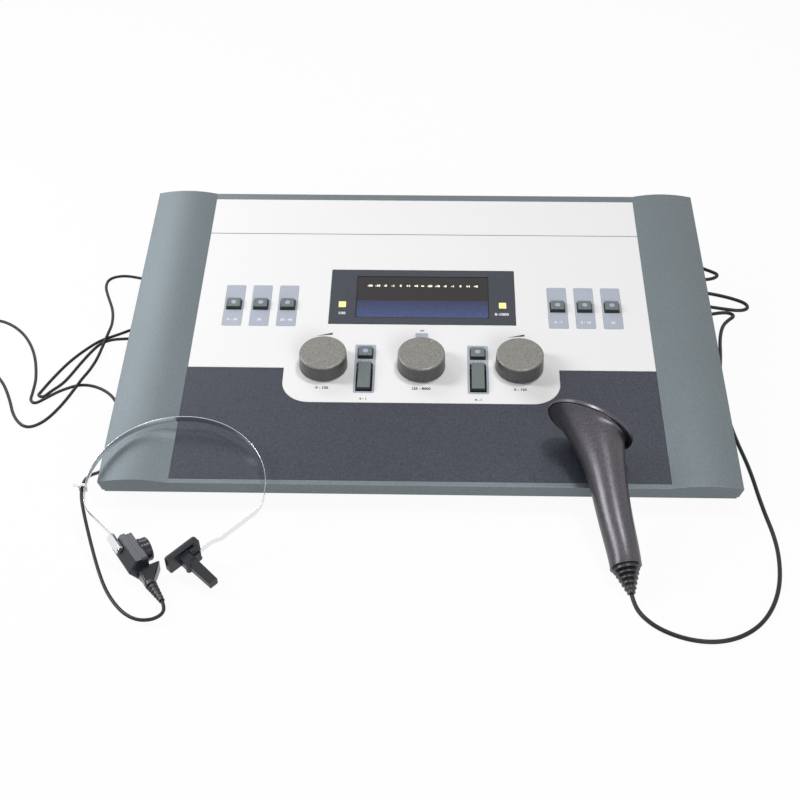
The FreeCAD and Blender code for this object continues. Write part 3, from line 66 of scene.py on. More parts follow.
def make_camera():
    camera = bpy.data.objects.new("camera", bpy.data.cameras.new("camera"))
    camera.data.lens = camera_lens
    camera.data.sensor_width = 36.0
    camera.data.clip_start = 0.05
    turn = (camera_aim - camera_place).to_track_quat("-Z", "Y").to_matrix().to_4x4()
    camera.matrix_world = Matrix.Translation(camera_place) @ turn @ Matrix.Rotation(camera_roll, 4, "Z")
    scene.collection.objects.link(camera)
    scene.camera = camera


make_camera()


# ---------------------------------------------------------------- shader helpers
def node(tree, kind, inputs=None, **settings):
    """New node in a tree: settings are its properties, inputs are values or sockets to link."""
    made = tree.nodes.new(kind)
    for key, value in settings.items():
        setattr(made, key, value)
    for key, value in (inputs or {}).items():
        if isinstance(value, bpy.types.NodeSocket):
            tree.links.new(value, made.inputs[key])
        else:
            made.inputs[key].default_value = value
    return made


def linear(red, green, blue):
    """Scene colour of a screen colour given from 0 to 255."""
    levels = [c / 255 for c in (red, green, blue)]
    return tuple(c / 12.92 if c <= 0.04045 else ((c + 0.055) / 1.055) ** 2.4 for c in levels) + (1.0,)


def maths(tree, operation, a, b=0.0, clamp=False):
    return node(tree, "ShaderNodeMath", {0: a, 1: b}, operation=operation, use_clamp=clamp).outputs[0]


def mixed(tree, share, a, b, blend="MIX"):
    inputs = {0: share, 6: a, 7: b}
    return node(tree, "ShaderNodeMix", inputs, data_type="RGBA", blend_type=blend).outputs[2]


def remapped(tree, value, low, high, to_low, to_high):
    inputs = {"Value": value, "From Min": low, "From Max": high, "To Min": to_low, "To Max": to_high}
    return node(tree, "ShaderNodeMapRange", inputs).outputs[0]


def spread(tree, pattern, low, high):
    """Brings the middle range of a noise to these two levels."""
    return remapped(tree, pattern, 0.3, 0.7, low, high)


def noise(tree, place, size, detail=2.0, roughness=0.55):
    """Noise whose patches are about one size across, in metres."""
    inputs = {"Vector": place, "Scale": 1.0 / size, "Detail": detail, "Roughness": roughness}
    return node(tree, "ShaderNodeTexNoise", inputs).outputs["Fac"]


def new_material(name, **constants):
    """New material with its tree, shader and place. Constants set the shader's sockets of those names."""
    made = bpy.data.materials.new(name)
    made.use_nodes = True
    tree = made.node_tree
    shader = tree.nodes["Principled BSDF"]
    for key, value in constants.items():
        label = {"ior_level": "Specular IOR Level"}.get(key, key.replace("_", " ").title())
        shader.inputs[label].default_value = value
    return made, tree, shader, node(tree, "ShaderNodeTexCoord").outputs["Object"]


def feed(tree, shader, **sockets):
    for key, value in sockets.items():
        tree.links.new(value, shader.inputs[key.replace("_", " ").title()])


def bump(tree, height, depth, strength=1.0, normal=None):
    inputs = {"Height": height, "Distance": depth, "Strength": strength}
    if normal is not None:
        inputs["Normal"] = normal
    return node(tree, "ShaderNodeBump", inputs).outputs[0]


def soft_edges(tree, radius):
    """Normal that turns smoothly over sharp edges, as on a moulded or painted part."""
    return node(tree, "ShaderNodeBevel", {"Radius": radius}, samples=6).outputs[0]


drift_size = 60.0 * mm          # how far apart a finish's slow changes of shade lie


def grained(name, colour, roughness, metallic=0.0, grain=0.8 * mm, contrast=0.10, relief=0.02 * mm,
            edge=0.3 * mm, drift=0.04, coat=0.0, ior_level=0.5):
    """Moulded or sprayed surface: fine grain in colour, gloss and relief, and a slow drift of shade."""
    made, tree, shader, place = new_material(name, metallic=metallic, coat_weight=coat,
                                             coat_roughness=0.12, ior_level=ior_level)
    fine = noise(tree, place, grain, 3.0, 0.7)
    slow = noise(tree, place, drift_size)
    light = spread(tree, fine, 1.0 - contrast, 1.0 + contrast)
    drifted = maths(tree, "MULTIPLY", light, spread(tree, slow, 1.0 - drift, 1.0 + drift))
    feed(tree, shader, base_color=mixed(tree, 1.0, colour, drifted, "MULTIPLY"),
         roughness=spread(tree, fine, roughness - 0.05, roughness + 0.05),
         normal=bump(tree, fine, relief, 0.6, soft_edges(tree, edge)))
    return made


def finish_with(finish, *names):
    for name in names:
        for slot in cad[name].material_slots:
            slot.material = finish


# ---------------------------------------------------------------- mesh helpers
def mesh_of(source):
    """Plain mesh of an evaluated object, whose object is then removed."""
    scene.collection.objects.link(source)
    bpy.context.view_layer.update()
    evaluated = source.evaluated_get(bpy.context.evaluated_depsgraph_get())
    mesh = bpy.data.meshes.new_from_object(evaluated)
    bpy.data.objects.remove(source)
    return mesh


def closed_up(mesh):
    """Merges doubled points and turns the faces outwards."""
    work = bmesh.new()
    work.from_mesh(mesh)
    bmesh.ops.remove_doubles(work, verts=work.verts, dist=0.0005 * mm)
    bmesh.ops.recalc_face_normals(work, faces=work.faces)
    work.to_mesh(mesh)
    work.free()
    return mesh


def joined(meshes):
    work = bmesh.new()
    for mesh in meshes:
        work.from_mesh(mesh)
    whole = bpy.data.meshes.new("joined")
    work.to_mesh(whole)
    work.free()
    return whole


def placed(name, mesh, finish, body):
    """Finished piece at the origin, on its body."""
    mesh.materials.clear()
    mesh.materials.append(finish)
    piece = bpy.data.objects.new(name, mesh)
    scene.collection.objects.link(piece)
    if body:
        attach(piece, body)
    return piece


def at(place):
    """A place in millimetres, as Blender's metres."""
    return tuple(c * mm for c in place)


# ---------------------------------------------------------------- repeats and strips
def size_tree(name, *labels):
    """Geometry tree with named sizes, a shape coming in, and its group input."""
    tree = bpy.data.node_groups.new(name, "GeometryNodeTree")
    tree.interface.new_socket("Shape", in_out="INPUT", socket_type="NodeSocketGeometry")
    for label in labels:
        kind = "NodeSocketInt" if label == "Count" else "NodeSocketFloat"
        tree.interface.new_socket(label, in_out="INPUT", socket_type=kind)
    tree.interface.new_socket("Finish", in_out="INPUT", socket_type="NodeSocketMaterial")
    tree.interface.new_socket("Shape", in_out="OUTPUT", socket_type="NodeSocketGeometry")
    return tree, tree.nodes.new("NodeGroupInput").outputs


def end_tree(tree, sizes, shape):
    real = node(tree, "GeometryNodeRealizeInstances", {0: shape}).outputs[0]
    finished = node(tree, "GeometryNodeSetMaterial", {"Geometry": real, "Material": sizes["Finish"]})
    tree.links.new(finished.outputs[0], tree.nodes.new("NodeGroupOutput").inputs[0])
    return tree


def row_of(tree, sizes, shape):
    """The shape repeated along X at the tree's pitch."""
    step = node(tree, "ShaderNodeCombineXYZ", {0: sizes["Pitch"]}).outputs[0]
    line = node(tree, "GeometryNodeMeshLine", {"Count": sizes["Count"], "Offset": step}).outputs[0]
    return node(tree, "GeometryNodeInstanceOnPoints", {"Points": line, "Instance": shape}).outputs[0]


def screw_tree():
    """Row of pan heads with a cross recess."""
    tree, sizes = size_tree("cross_screws", "Count", "Pitch", "Radius", "Height", "Recess")
    crown = maths(tree, "MULTIPLY", sizes["Radius"], 0.8)
    form = {"Vertices": 28, "Radius Top": crown, "Radius Bottom": sizes["Radius"],
            "Depth": sizes["Height"]}
    head = node(tree, "GeometryNodeMeshCone", form).outputs[0]
    long_side = maths(tree, "MULTIPLY", sizes["Radius"], 1.2)
    short_side = maths(tree, "MULTIPLY", sizes["Radius"], 0.24)
    cut = node(tree, "GeometryNodeMeshBoolean", {"Mesh 1": head}, operation="DIFFERENCE")
    half_height = maths(tree, "MULTIPLY", sizes["Height"], 0.5)
    lift = maths(tree, "ADD", maths(tree, "SUBTRACT", sizes["Height"], sizes["Recess"]), half_height)
    lift = node(tree, "ShaderNodeCombineXYZ", {2: lift}).outputs[0]
    for across, along in ((long_side, short_side), (short_side, long_side)):
        size = node(tree, "ShaderNodeCombineXYZ", {0: across, 1: along, 2: sizes["Height"]}).outputs[0]
        bar = node(tree, "GeometryNodeMeshCube", {"Size": size}).outputs[0]
        bar = node(tree, "GeometryNodeTransform", {"Geometry": bar, "Translation": lift}).outputs[0]
        tree.links.new(bar, cut.inputs["Mesh 2"])
    return end_tree(tree, sizes, row_of(tree, sizes, cut.outputs[0]))


def ring_tree():
    """Row of round washers."""
    tree, sizes = size_tree("socket_rings", "Count", "Pitch", "Radius", "Wire")
    circle = node(tree, "GeometryNodeCurvePrimitiveCircle", {"Resolution": 40, "Radius": sizes["Radius"]})
    section = node(tree, "GeometryNodeCurvePrimitiveCircle", {"Resolution": 10, "Radius": sizes["Wire"]})
    curves = {"Curve": circle.outputs[0], "Profile Curve": section.outputs[0]}
    ring = node(tree, "GeometryNodeCurveToMesh", curves).outputs[0]
    return end_tree(tree, sizes, row_of(tree, sizes, ring))


def strip_tree():
    """Strip on edge along the path that comes in, crowned on both sides."""
    tree, sizes = size_tree("edge_strip", "Width", "Thickness")
    path = node(tree, "GeometryNodeMeshToCurve", {0: sizes["Shape"]}).outputs[0]
    path = node(tree, "GeometryNodeSetCurveNormal", {"Curve": path}, mode="Z_UP").outputs[0]
    circle = node(tree, "GeometryNodeCurvePrimitiveCircle", {"Resolution": 24, "Radius": 0.5}).outputs[0]
    across = {0: sizes["Thickness"], 1: sizes["Width"], 2: 1.0}
    scale = node(tree, "ShaderNodeCombineXYZ", across).outputs[0]
    section = node(tree, "GeometryNodeTransform", {"Geometry": circle, "Scale": scale}).outputs[0]
    curves = {"Curve": path, "Profile Curve": section, "Fill Caps": True}
    return end_tree(tree, sizes, node(tree, "GeometryNodeCurveToMesh", curves).outputs[0])


def grown(tree, finish, mesh=None, **values):
    """Mesh that a tree makes at these sizes."""
    source = bpy.data.objects.new("source", mesh or bpy.data.meshes.new("source"))
    growth = source.modifiers.new("growth", "NODES")
    growth.node_group = tree
    for item in tree.interface.items_tree:
        if item.in_out == "INPUT" and item.name != "Shape":
            growth[item.identifier] = finish if item.name == "Finish" else values[item.name.lower()]
    return closed_up(mesh_of(source))


def path_mesh(points, closed=False):
    """Chain of edges through points, in millimetres."""
    mesh = bpy.data.meshes.new("path")
    edges = [(i, i + 1) for i in range(len(points) - 1)] + ([(len(points) - 1, 0)] if closed else [])
    mesh.from_pydata([at(p) for p in points], edges, [])
    return mesh


# ---------------------------------------------------------------- sockets, where the cords end
jack_pitch = 28.0
jack_count = 6
plug_gap = 0.3            # a cord's tube starts this far behind its plug


def box_middle(name):
    """Middle of a piece of the frame, in millimetres."""
    low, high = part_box(name)
    return (low + high) / 2 / mm


def plug_end(name):
    """Where a cord reaches its plug, behind the middle of it."""
    x, _, z = box_middle(name)
    return (x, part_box(name)[1].y / mm + plug_gap, z)


handset_plug_end = plug_end("handset_plug")
headset_plug_end = plug_end("headset_plug")
jack_first_x, _, connector_z = headset_plug_end

# ---------------------------------------------------------------- cords
cord_rubber = grained("cord_rubber", linear(20, 22, 25), 0.42, grain=0.5 * mm, contrast=0.12,
                      relief=0.01 * mm, ior_level=0.3)
tie_rubber = grained("tie_rubber", linear(44, 44, 48), 0.6, grain=0.5 * mm, contrast=0.15)
handset_cord_radius = 1.6
headset_cord_radius = 1.3

handset_route = (
    (150.6, -269.6), (154.8, -281.4), (165.6, -293.6), (183.0, -302.6), (202.0, -305.2),
    (220.6, -300.0), (237.0, -287.0), (249.6, -266.4), (257.6, -240.2), (260.8, -206.0),
    (256.4, -166.0), (254.6, -125.0), (249.0, -86.0), (246.5, -46.0), (248.0, -10.0), (253.8, 22.0),
    (256.8, 48.0), (262.0, 68.0), (269.0, 77.5), (275.0, 83.2), (271.6, 88.6), (263.0, 88.6),
    (250.0, 84.5), (240.0, 81.0), (231.0, 80.0), (222.5, 83.5), (219.0, 92.0), (222.5, 100.5),
    (231.0, 104.0), (240.5, 102.5), (252.0, 98.5), (268.0, 94.3), (281.0, 91.6), (289.0, 95.2),
    (288.4, 103.2), (280.5, 109.2), (270.0, 114.6), (257.0, 119.4), (246.5, 120.6), (238.0, 124.2),
    (234.6, 132.0), (238.4, 139.4), (247.0, 141.2), (258.0, 141.6), (266.2, 144.2), (270.6, 150.0),
    (265.2, 155.2), (256.5, 161.0), (250.5, 173.0), (245.0, 194.0), (228.0, 218.0), (200.0, 235.0),
    (165.0, 244.0), (128.0, 249.0), (98.0, 252.0), (66.0, 254.6), (43.0, 253.9),
)
handset_rise = ((12.4, 222.5, 28.4), (12.0, 214.6, 31.2))
lead_route = (
    (-174.1, -283.9, 5.4), (-176.2, -289.8, 4.5), (-183.2, -293.2, 3.4), (-193.8, -292.0, 2.2),
    (-205.4, -283.4), (-217.8, -266.6), (-227.4, -246.5, 2.4), (-236.2, -224.5, 9.0),
    (-244.0, -203.5, 18.8), (-248.5, -188.8, 24.45),
)
headset_route = (
    (-248.5, -176.6, 26.95), (-247.0, -162.5, 21.0), (-243.6, -147.0, 10.5), (-242.6, -131.0, 3.0),
    (-243.4, -112.0), (-243.8, -90.0), (-244.0, -68.0), (-250.0, -46.0), (-264.0, -30.5),
    (-282.0, -24.2), (-297.5, -32.5), (-308.5, -43.8), (-316.0, -52.0), (-321.0, -47.8),
    (-321.2, -37.0), (-322.5, -16.0), (-332.0, 20.0), (-349.0, 50.0), (-372.0, 68.0), (-394.0, 66.0),
    (-402.0, 48.0), (-394.0, 28.0), (-376.0, 6.0), (-352.0, -18.0), (-339.0, -44.0), (-329.6, -70.0),
    (-316.5, -84.5), (-303.6, -76.0), (-294.0, -54.5), (-287.0, -35.0, 3.2), (-283.0, -21.5, 4.2),
    (-279.6, -8.0, 2.6), (-276.6, 9.0, 1.7), (-274.6, 26.0, 3.0), (-273.4, 37.0, 4.2),
    (-272.6, 48.0, 4.2), (-272.4, 61.0, 2.4), (-275.6, 83.0), (-284.0, 105.0), (-289.8, 122.0),
    (-288.4, 135.5), (-276.0, 140.6), (-260.5, 136.6), (-246.0, 131.0), (-238.0, 118.0), (-237.0, 98.0),
    (-240.0, 76.0), (-247.0, 60.0), (-257.5, 52.0), (-268.0, 44.6), (-279.0, 37.6), (-289.4, 23.6),
    (-299.6, 6.0), (-307.4, -13.8), (-312.2, -28.0), (-314.6, -36.0), (-316.2, -41.0), (-310.9, -43.2),
    (-306.6, -35.0), (-299.4, -25.6), (-294.8, -14.0), (-289.6, 3.6), (-283.2, 22.0), (-278.0, 33.0),
    (-269.0, 39.4), (-257.0, 40.6), (-242.0, 42.0), (-231.0, 50.0), (-227.0, 68.0), (-226.0, 98.0),
    (-228.0, 128.0), (-234.0, 155.0), (-235.0, 180.0), (-224.0, 206.0), (-201.0, 230.0),
    (-176.0, 246.0), (-156.0, 252.0), (-141.0, 251.0), (-132.0, 244.0, 2.6), (-129.0, 236.0, 7.0),
    (-128.3, 229.0, 16.0), (-128.0, 222.0, 26.0), (-128.0, 214.0, 31.4),
)
boot_end = (149.483, -262.627, 3.928)           # of the handset
lead_start = (-176.917, -277.749, 6.277)        # the end of the vibrator's boot
clip_point = (-248.5, -182.7, 25.7)             # where the cord is tied to the band
coil_centre = (29.5, 236.0)
coil_radius = 17.7
coil_turns = 7
coil_pitch = 3.4
coil_points = 12
coil_spare_points = 3     # past the last whole turn, up to where the cord rises to its plug
coil_lean = 0.46          # how far each turn is set towards the console, over its height
strap_corner = 1.2        # radius that both straps bend to
tie_width = 6.0
tie_thickness = 0.8
tie_gap = 0.3             # between the strap and the coil
tie_angle = radians(15.0)       # place on the coil, from its right-hand side
tie_first_pass = 0.75           # turns from the coil's start to the tie
tie_tail = (2.5, 6.0, 11.0, 17.0)      # how far under the tie's top the points of its loose end lie


def lifted(points, radius):
    """Route points; where no height is given the cord lies on the table."""
    return [p if len(p) == 3 else (*p, radius) for p in points]


def coil_route():
    """Put-away length: a round coil that climbs one cord's thickness with each turn."""
    route = []
    for k in range(coil_points * coil_turns + coil_spare_points):
        angle = radians(90.0 + 360.0 / coil_points * (k + 0.5))
        climb = coil_pitch * k / coil_points
        x = coil_centre[0] + coil_radius * cos(angle)
        y = coil_centre[1] + coil_radius * sin(angle) - coil_lean * climb
        route.append((x, y, handset_cord_radius + climb))
    return route


def route_curve(points, radius):
    curve = bpy.data.curves.new("route", "CURVE")
    curve.dimensions = "3D"
    spline = curve.splines.new("NURBS")
    spline.points.add(len(points) - 1)
    for knot, place in zip(spline.points, points):
        knot.co = (*at(place), 1.0)
    spline.order_u = 3
    spline.use_endpoint_u = True
    spline.resolution_u = 8
    curve.bevel_depth = radius * mm
    curve.bevel_resolution = 3
    curve.use_fill_caps = radius > 0
    return bpy.data.objects.new("route", curve)


def make_cord(name, points, radius, replaced):
    """Tube along a route, which takes the place of these parts."""
    points = lifted(points, radius)
    line = [vertex.co.copy() for vertex in mesh_of(route_curve(points, 0.0)).vertices]
    piece = placed(name, mesh_of(route_curve(points, radius)), cord_rubber, None)
    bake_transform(piece)
    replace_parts(piece, *replaced)


def strap_loop(inner, outer, low, high):
    """Rounded rectangle that a strap follows, in its own plane."""
    loop = []
    left, right = inner + strap_corner, outer - strap_corner
    bottom, top = low + strap_corner, high - strap_corner
    for quarter, (x, z) in enumerate(((right, top), (left, top), (left, bottom), (right, bottom))):
        for step in range(5):
            angle = radians(90.0 * quarter + 22.5 * step)
            loop.append((x + strap_corner * cos(angle), z + strap_corner * sin(angle), 0.0))
    return loop


def strap(loop, tail, finish, width, thickness):
    """Closed strap with its loose end."""
    sizes = {"width": width * mm, "thickness": thickness * mm}
    meshes = [grown(strip, finish, path_mesh(path, path is loop), **sizes) for path in (loop, tail)]
    return joined(meshes)


def make_tie():
    """Strap round the put-away coil, with its loose end lying down the outer side."""
    middle = coil_centre[0] + coil_radius * cos(tie_angle)
    gap = tie_gap + tie_thickness / 2
    inner, outer = middle - handset_cord_radius - gap, middle + handset_cord_radius + gap
    low = tie_first_pass * coil_pitch - gap
    high = (tie_first_pass + coil_turns - 1) * coil_pitch + 2 * handset_cord_radius + gap
    root, *rest = [high - drop for drop in tie_tail]
    tail = [(outer + 0.1, root, 0.0), *((outer + tie_thickness, z, 0.0) for z in rest)]
    mesh = strap(strap_loop(inner, outer, low, high), tail, tie_rubber, tie_width, tie_thickness)
    foot_y = (coil_centre[1] + coil_lean * handset_cord_radius) * mm
    leaning = Matrix(((1, 0, 0, 0), (0, 1, -coil_lean, foot_y), (0, 0, 1, 0), (0, 0, 0, 1)))
    mesh.transform(leaning @ upright)
    tie = placed("coil_strap", mesh, tie_rubber, "console")
    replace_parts(tie, "cord_tie")
    return tie


strip = strip_tree()
upright = Matrix(((1, 0, 0, 0), (0, 0, -1, 0), (0, 1, 0, 0), (0, 0, 0, 1)))
coil_strap = make_tie()
make_cord("handset_flex",
          [boot_end, *handset_route, *coil_route(), *handset_rise, handset_plug_end],
          handset_cord_radius,
          ("handset_cord",))
make_cord("headset_flex",
          [clip_point, *headset_route, headset_plug_end],
          headset_cord_radius,
          ("headset_cord",))
make_cord("vibrator_flex",
          [lead_start, *lead_route, clip_point],
          headset_cord_radius,
          ("headset_lead",))


# ---------------------------------------------------------------- floor and light
table_reach = 4.0          # metres, half the table top's side
table_glow = 0.94          # share of plain white in what the eye sees of the table top
sky_strength = 0.13        # the light that comes from all round


def white_share(tree):
    """One for rays that should see the plain background: the eye's, and those through gloss and glass."""
    rays = node(tree, "ShaderNodeLightPath").outputs
    seen = maths(tree, "MAXIMUM", rays["Is Camera Ray"], rays["Is Glossy Ray"])
    return maths(tree, "MAXIMUM", seen, rays["Is Transmission Ray"])


def make_floor():
    """Pale table top that stays white to the eye and keeps the object's shadow."""
    mesh = bpy.data.meshes.new("table_top")
    corners = [(x * table_reach, y * table_reach, 0) for x, y in ((-1, -1), (1, -1), (1, 1), (-1, 1))]
    mesh.from_pydata(corners, [], [(0, 1, 2, 3)])
    made, tree, shader, _ = new_material("table_white", base_color=(0.86, 0.86, 0.87, 1.0), roughness=0.8)
    white = node(tree, "ShaderNodeEmission", {"Color": (1.0, 1.0, 1.0, 1.0), "Strength": 1.0})
    share = maths(tree, "MULTIPLY", white_share(tree), table_glow)
    blended = node(tree, "ShaderNodeMixShader", {0: share, 1: shader.outputs[0], 2: white.outputs[0]})
    tree.links.new(blended.outputs[0], tree.nodes["Material Output"].inputs["Surface"])
    mesh.materials.append(made)
    floor = bpy.data.objects.new("table_top", mesh)
    scene.collection.objects.link(floor)


def soft_box(name, place, aim, size, power, colour):
    lamp = bpy.data.lights.new(name, "AREA")
    lamp.shape = "RECTANGLE"
    lamp.size, lamp.size_y = size
    lamp.energy = power
    lamp.color = colour
    made = bpy.data.objects.new(name, lamp)
    made.location = place
    made.rotation_euler = (Vector(aim) - Vector(place)).to_track_quat("-Z", "Y").to_euler()
    scene.collection.objects.link(made)


def make_light():
    """Four soft boxes and a dim sky; places, aims and sizes are in metres, powers in watts."""
    soft_box("soft_box_above", place=(0.30, 0.06, 1.60), aim=(0.0, 0.0, 0.0), size=(0.28, 0.28),
             power=9.2, colour=(1.0, 0.99, 0.98))
    soft_box("soft_box_rear_left", place=(-0.95, 1.15, 1.35), aim=(-0.15, -0.05, 0.0), size=(0.9, 0.7),
             power=7.5, colour=(0.93, 0.97, 1.0))
    soft_box("soft_box_left", place=(-1.16, 0.03, 0.84), aim=(0.13, -0.2, 0.03), size=(0.25, 0.6),
             power=9.5, colour=(1.0, 0.99, 1.0))
    soft_box("soft_box_front", place=(0.55, -1.6, 0.75), aim=(0.0, -0.1, 0.03), size=(0.8, 0.6),
             power=11.0, colour=(1.0, 1.0, 1.0))
    world = bpy.data.worlds.new("studio")
    scene.world = world
    world.use_nodes = True
    tree = world.node_tree
    background = tree.nodes["Background"]
    background.inputs["Color"].default_value = (1.0, 1.0, 1.0, 1.0)
    strength = remapped(tree, white_share(tree), 0.0, 1.0, sky_strength, 1.0)
    tree.links.new(strength, background.inputs["Strength"])
    scene.view_settings.view_transform = "Standard"


make_floor()
make_light()

# ---------------------------------------------------------------- panel
slope = radians(8.0)
panel_half = 173.3              # half its depth, up the slope
front_edge_height = 22.0
panel_origin = Vector((0.0, 0.0, front_edge_height + panel_half * sin(slope))) * mm
panel = Matrix.Translation(panel_origin) @ Matrix.Rotation(slope, 4, "X")


def panel_box(name):
    """Lowest and highest corner of a piece of the frame: across, up and out of the panel."""
    corners = [panel.inverted() @ vertex.co / mm for vertex in cad[name].data.vertices]
    return [Vector([pick(values) for values in zip(*corners)]) for pick in (min, max)]


def panel_middle(name):
    low, high = panel_box(name)
    return (low + high) / 2


side_keys = sorted(name for name in cad if name.startswith(("key_left", "key_right")))
centre_keys = ("key_centre_left", "key_centre_right")
knob_u = panel_middle("level_knob_right").x
knob_roof = panel_box("frequency_knob")[1].z
knob_edge = (2.0, 0.8)          # how far under its roof a knob's darker side ends and its top begins; the pointer dimple, lower than the top, takes the darker colour as painted shade
key_edge = (0.5, 0.15)          # the same for a key's black side and green top
engraved_v = 117.5
window_middle = panel_middle("display_window")
window_half = panel_box("display_window")[1] - window_middle
window_inset = (0.8, 0.85)      # from the window's edges to its frame's line, across and up
window_corner = 2.0
blue_bottom = 9.7                # the blue grows darker upwards from here
blue_top = 31.1                  # up to here, where the meter's field begins
cell_half = (1.3, 2.6)          # half of a display cell, across and up


def panel_place(tree, place):
    """Panel coordinates of a shading point: U, V and N sockets, in metres."""
    moved = node(tree, "ShaderNodeMapping", {"Vector": place, "Location": -panel_origin})
    sloped = node(tree, "ShaderNodeMapping", {"Vector": moved.outputs[0], "Rotation": (-slope, 0.0, 0.0)})
    return node(tree, "ShaderNodeSeparateXYZ", {0: sloped.outputs[0]}).outputs


# ---------------------------------------------------------------- finishes
def bright_metal(name, colour, roughness, edge=0.15 * mm):
    """Bright metal with faint drawing marks."""
    made, tree, shader, place = new_material(name, metallic=1.0)
    stretched = node(tree, "ShaderNodeMapping", {"Vector": place, "Scale": (0.25, 0.25, 3.0)}).outputs[0]
    marks = noise(tree, stretched, 1.6 * mm, 2.0, 0.6)
    feed(tree, shader, roughness=spread(tree, marks, roughness - 0.03, roughness + 0.05),
         base_color=mixed(tree, 1.0, colour, spread(tree, marks, 0.96, 1.02), "MULTIPLY"),
         normal=bump(tree, marks, 0.001 * mm, 0.3, soft_edges(tree, edge)))
    return made


def housing_finish():
    """Sprayed grey-green metallic paint with a fine texture."""
    made, tree, shader, place = new_material("housing_paint", metallic=0.5, ior_level=0.4)
    fine = noise(tree, place, 1.0 * mm, 2.0, 0.7)
    slow = noise(tree, place, drift_size)
    shade = maths(tree, "MULTIPLY", spread(tree, fine, 0.84, 1.16), spread(tree, slow, 0.98, 1.02))
    feed(tree, shader, base_color=mixed(tree, 1.0, linear(109, 118, 122), shade, "MULTIPLY"),
         roughness=spread(tree, fine, 0.36, 0.46),
         normal=bump(tree, fine, 0.03 * mm, 0.6, soft_edges(tree, 0.6 * mm)))
    return made


def white_overlay_finish():
    """White film, with painted shade along its engraved groove."""
    made, tree, shader, place = new_material("overlay_white")
    fine = noise(tree, place, 1.2 * mm, 3.0, 0.7)
    v = panel_place(tree, place)[1]
    # Painted shade in the engraved groove: a grey line on the film along the groove.
    off_groove = maths(tree, "ABSOLUTE", maths(tree, "SUBTRACT", v, engraved_v * mm))
    line = remapped(tree, off_groove, 0.35 * mm, 0.5 * mm, 1.0, 0.0)
    film = mixed(tree, 1.0, linear(239, 239, 239), spread(tree, fine, 0.985, 1.015), "MULTIPLY")
    feed(tree, shader, base_color=mixed(tree, line, film, linear(120, 122, 128)),
         roughness=spread(tree, fine, 0.46, 0.56),
         normal=bump(tree, fine, 0.004 * mm, 0.5, soft_edges(tree, 0.2 * mm)))
    return made


def key_finish(name, key):
    """Satin grey-green top on black sides, told apart by height over the panel."""
    made, tree, shader, place = new_material(name)
    fine = noise(tree, place, 0.6 * mm, 3.0, 0.7)
    height = panel_place(tree, place)[2]
    roof = panel_box(key)[1].z
    top = remapped(tree, height, *((roof - under) * mm for under in key_edge), 0.0, 1.0)
    patches = remapped(tree, fine, 0.35, 0.65, 0.0, 1.0)
    green = mixed(tree, patches, linear(86, 98, 96), linear(110, 121, 118))
    feed(tree, shader, base_color=mixed(tree, top, linear(20, 25, 27), green),
         roughness=spread(tree, fine, 0.38, 0.5),
         normal=bump(tree, fine, 0.015 * mm, 0.5, soft_edges(tree, 0.3 * mm)))
    return made


def knob_finish():
    """Sprayed warm-grey knob, darker round its side than on its top, with painted shade in its sunken
    pointer dimple.
    """
    made, tree, shader, place = new_material("knob_speckle", metallic=0.4)
    fine = noise(tree, place, 1.3 * mm, 2.0, 0.7)
    height = panel_place(tree, place)[2]
    # This height mask also paints shade into the pointer dimple, which lies below the top.
    top = remapped(tree, height, *((knob_roof - under) * mm for under in knob_edge), 0.0, 1.0)
    grey = mixed(tree, top, linear(86, 85, 86), linear(128, 127, 122))
    feed(tree, shader, base_color=mixed(tree, 1.0, grey, spread(tree, fine, 0.7, 1.3), "MULTIPLY"),
         roughness=spread(tree, fine, 0.32, 0.42),
         normal=bump(tree, fine, 0.03 * mm, 0.6, soft_edges(tree, 0.4 * mm)))
    return made


def window_finish():
    """Tinted window: brown-black over the meter, blue over the lower display that grows lighter towards
    the bottom, with its cell grid.
    """
    made, tree, shader, place = new_material("window_tint", roughness=0.3, ior_level=0.3)
    u, v, _ = panel_place(tree, place)
    fine = noise(tree, place, 1.4 * mm, 2.0, 0.8)
    lower = remapped(tree, v, (blue_top - 0.5) * mm, (blue_top + 0.5) * mm, 1.0, 0.0)
    # The blue grows lighter towards the bottom; the display behind the window is not lit.
    depth = remapped(tree, v, blue_bottom * mm, blue_top * mm, 1.0, 0.0)
    blue = mixed(tree, depth, linear(52, 58, 88), linear(68, 84, 128))
    to_line = (maths(tree, "PINGPONG", c, half * mm) for c, half in zip((u, v), cell_half))
    lines = remapped(tree, maths(tree, "MINIMUM", *to_line), 0.0, 0.25 * mm, 0.10, 0.0)
    blue = mixed(tree, lines, blue, linear(30, 36, 70))
    field = mixed(tree, lower, linear(42, 37, 39), blue)
    into_corner = []
    for c, middle, half, inset in zip((u, v), window_middle, window_half, window_inset):
        off_middle = maths(tree, "ABSOLUTE", maths(tree, "SUBTRACT", c, middle * mm))
        beyond = maths(tree, "SUBTRACT", off_middle, (half - inset - window_corner) * mm)
        into_corner.append(maths(tree, "MAXIMUM", beyond, 0.0))
    corner_place = node(tree, "ShaderNodeCombineXYZ", dict(enumerate(into_corner))).outputs[0]
    reach = node(tree, "ShaderNodeVectorMath", {0: corner_place}, operation="LENGTH").outputs["Value"]
    frame_line = remapped(tree, reach, (window_corner - 0.2) * mm, (window_corner + 0.2) * mm, 0.0, 1.0)
    field = mixed(tree, 1.0, field, spread(tree, fine, 0.72, 1.28), "MULTIPLY")
    feed(tree, shader, base_color=mixed(tree, frame_line, field, linear(24, 20, 22)))
    return made


def cloudy_finish_painted_glow(name, dim, full, painted_glow):
    """Lens or pipe, uneven as in a cloudy moulding, with a painted glow of the given strength; no light
    lies behind it.
    """
    made, tree, shader, place = new_material(name, emission_strength=painted_glow, roughness=0.28,
                                             coat_weight=0.3)
    colour = mixed(tree, spread(tree, noise(tree, place, 1.0 * mm), 0.0, 1.0), dim, full)
    feed(tree, shader, base_color=colour, emission_color=colour, normal=soft_edges(tree, 0.3 * mm))
    return made


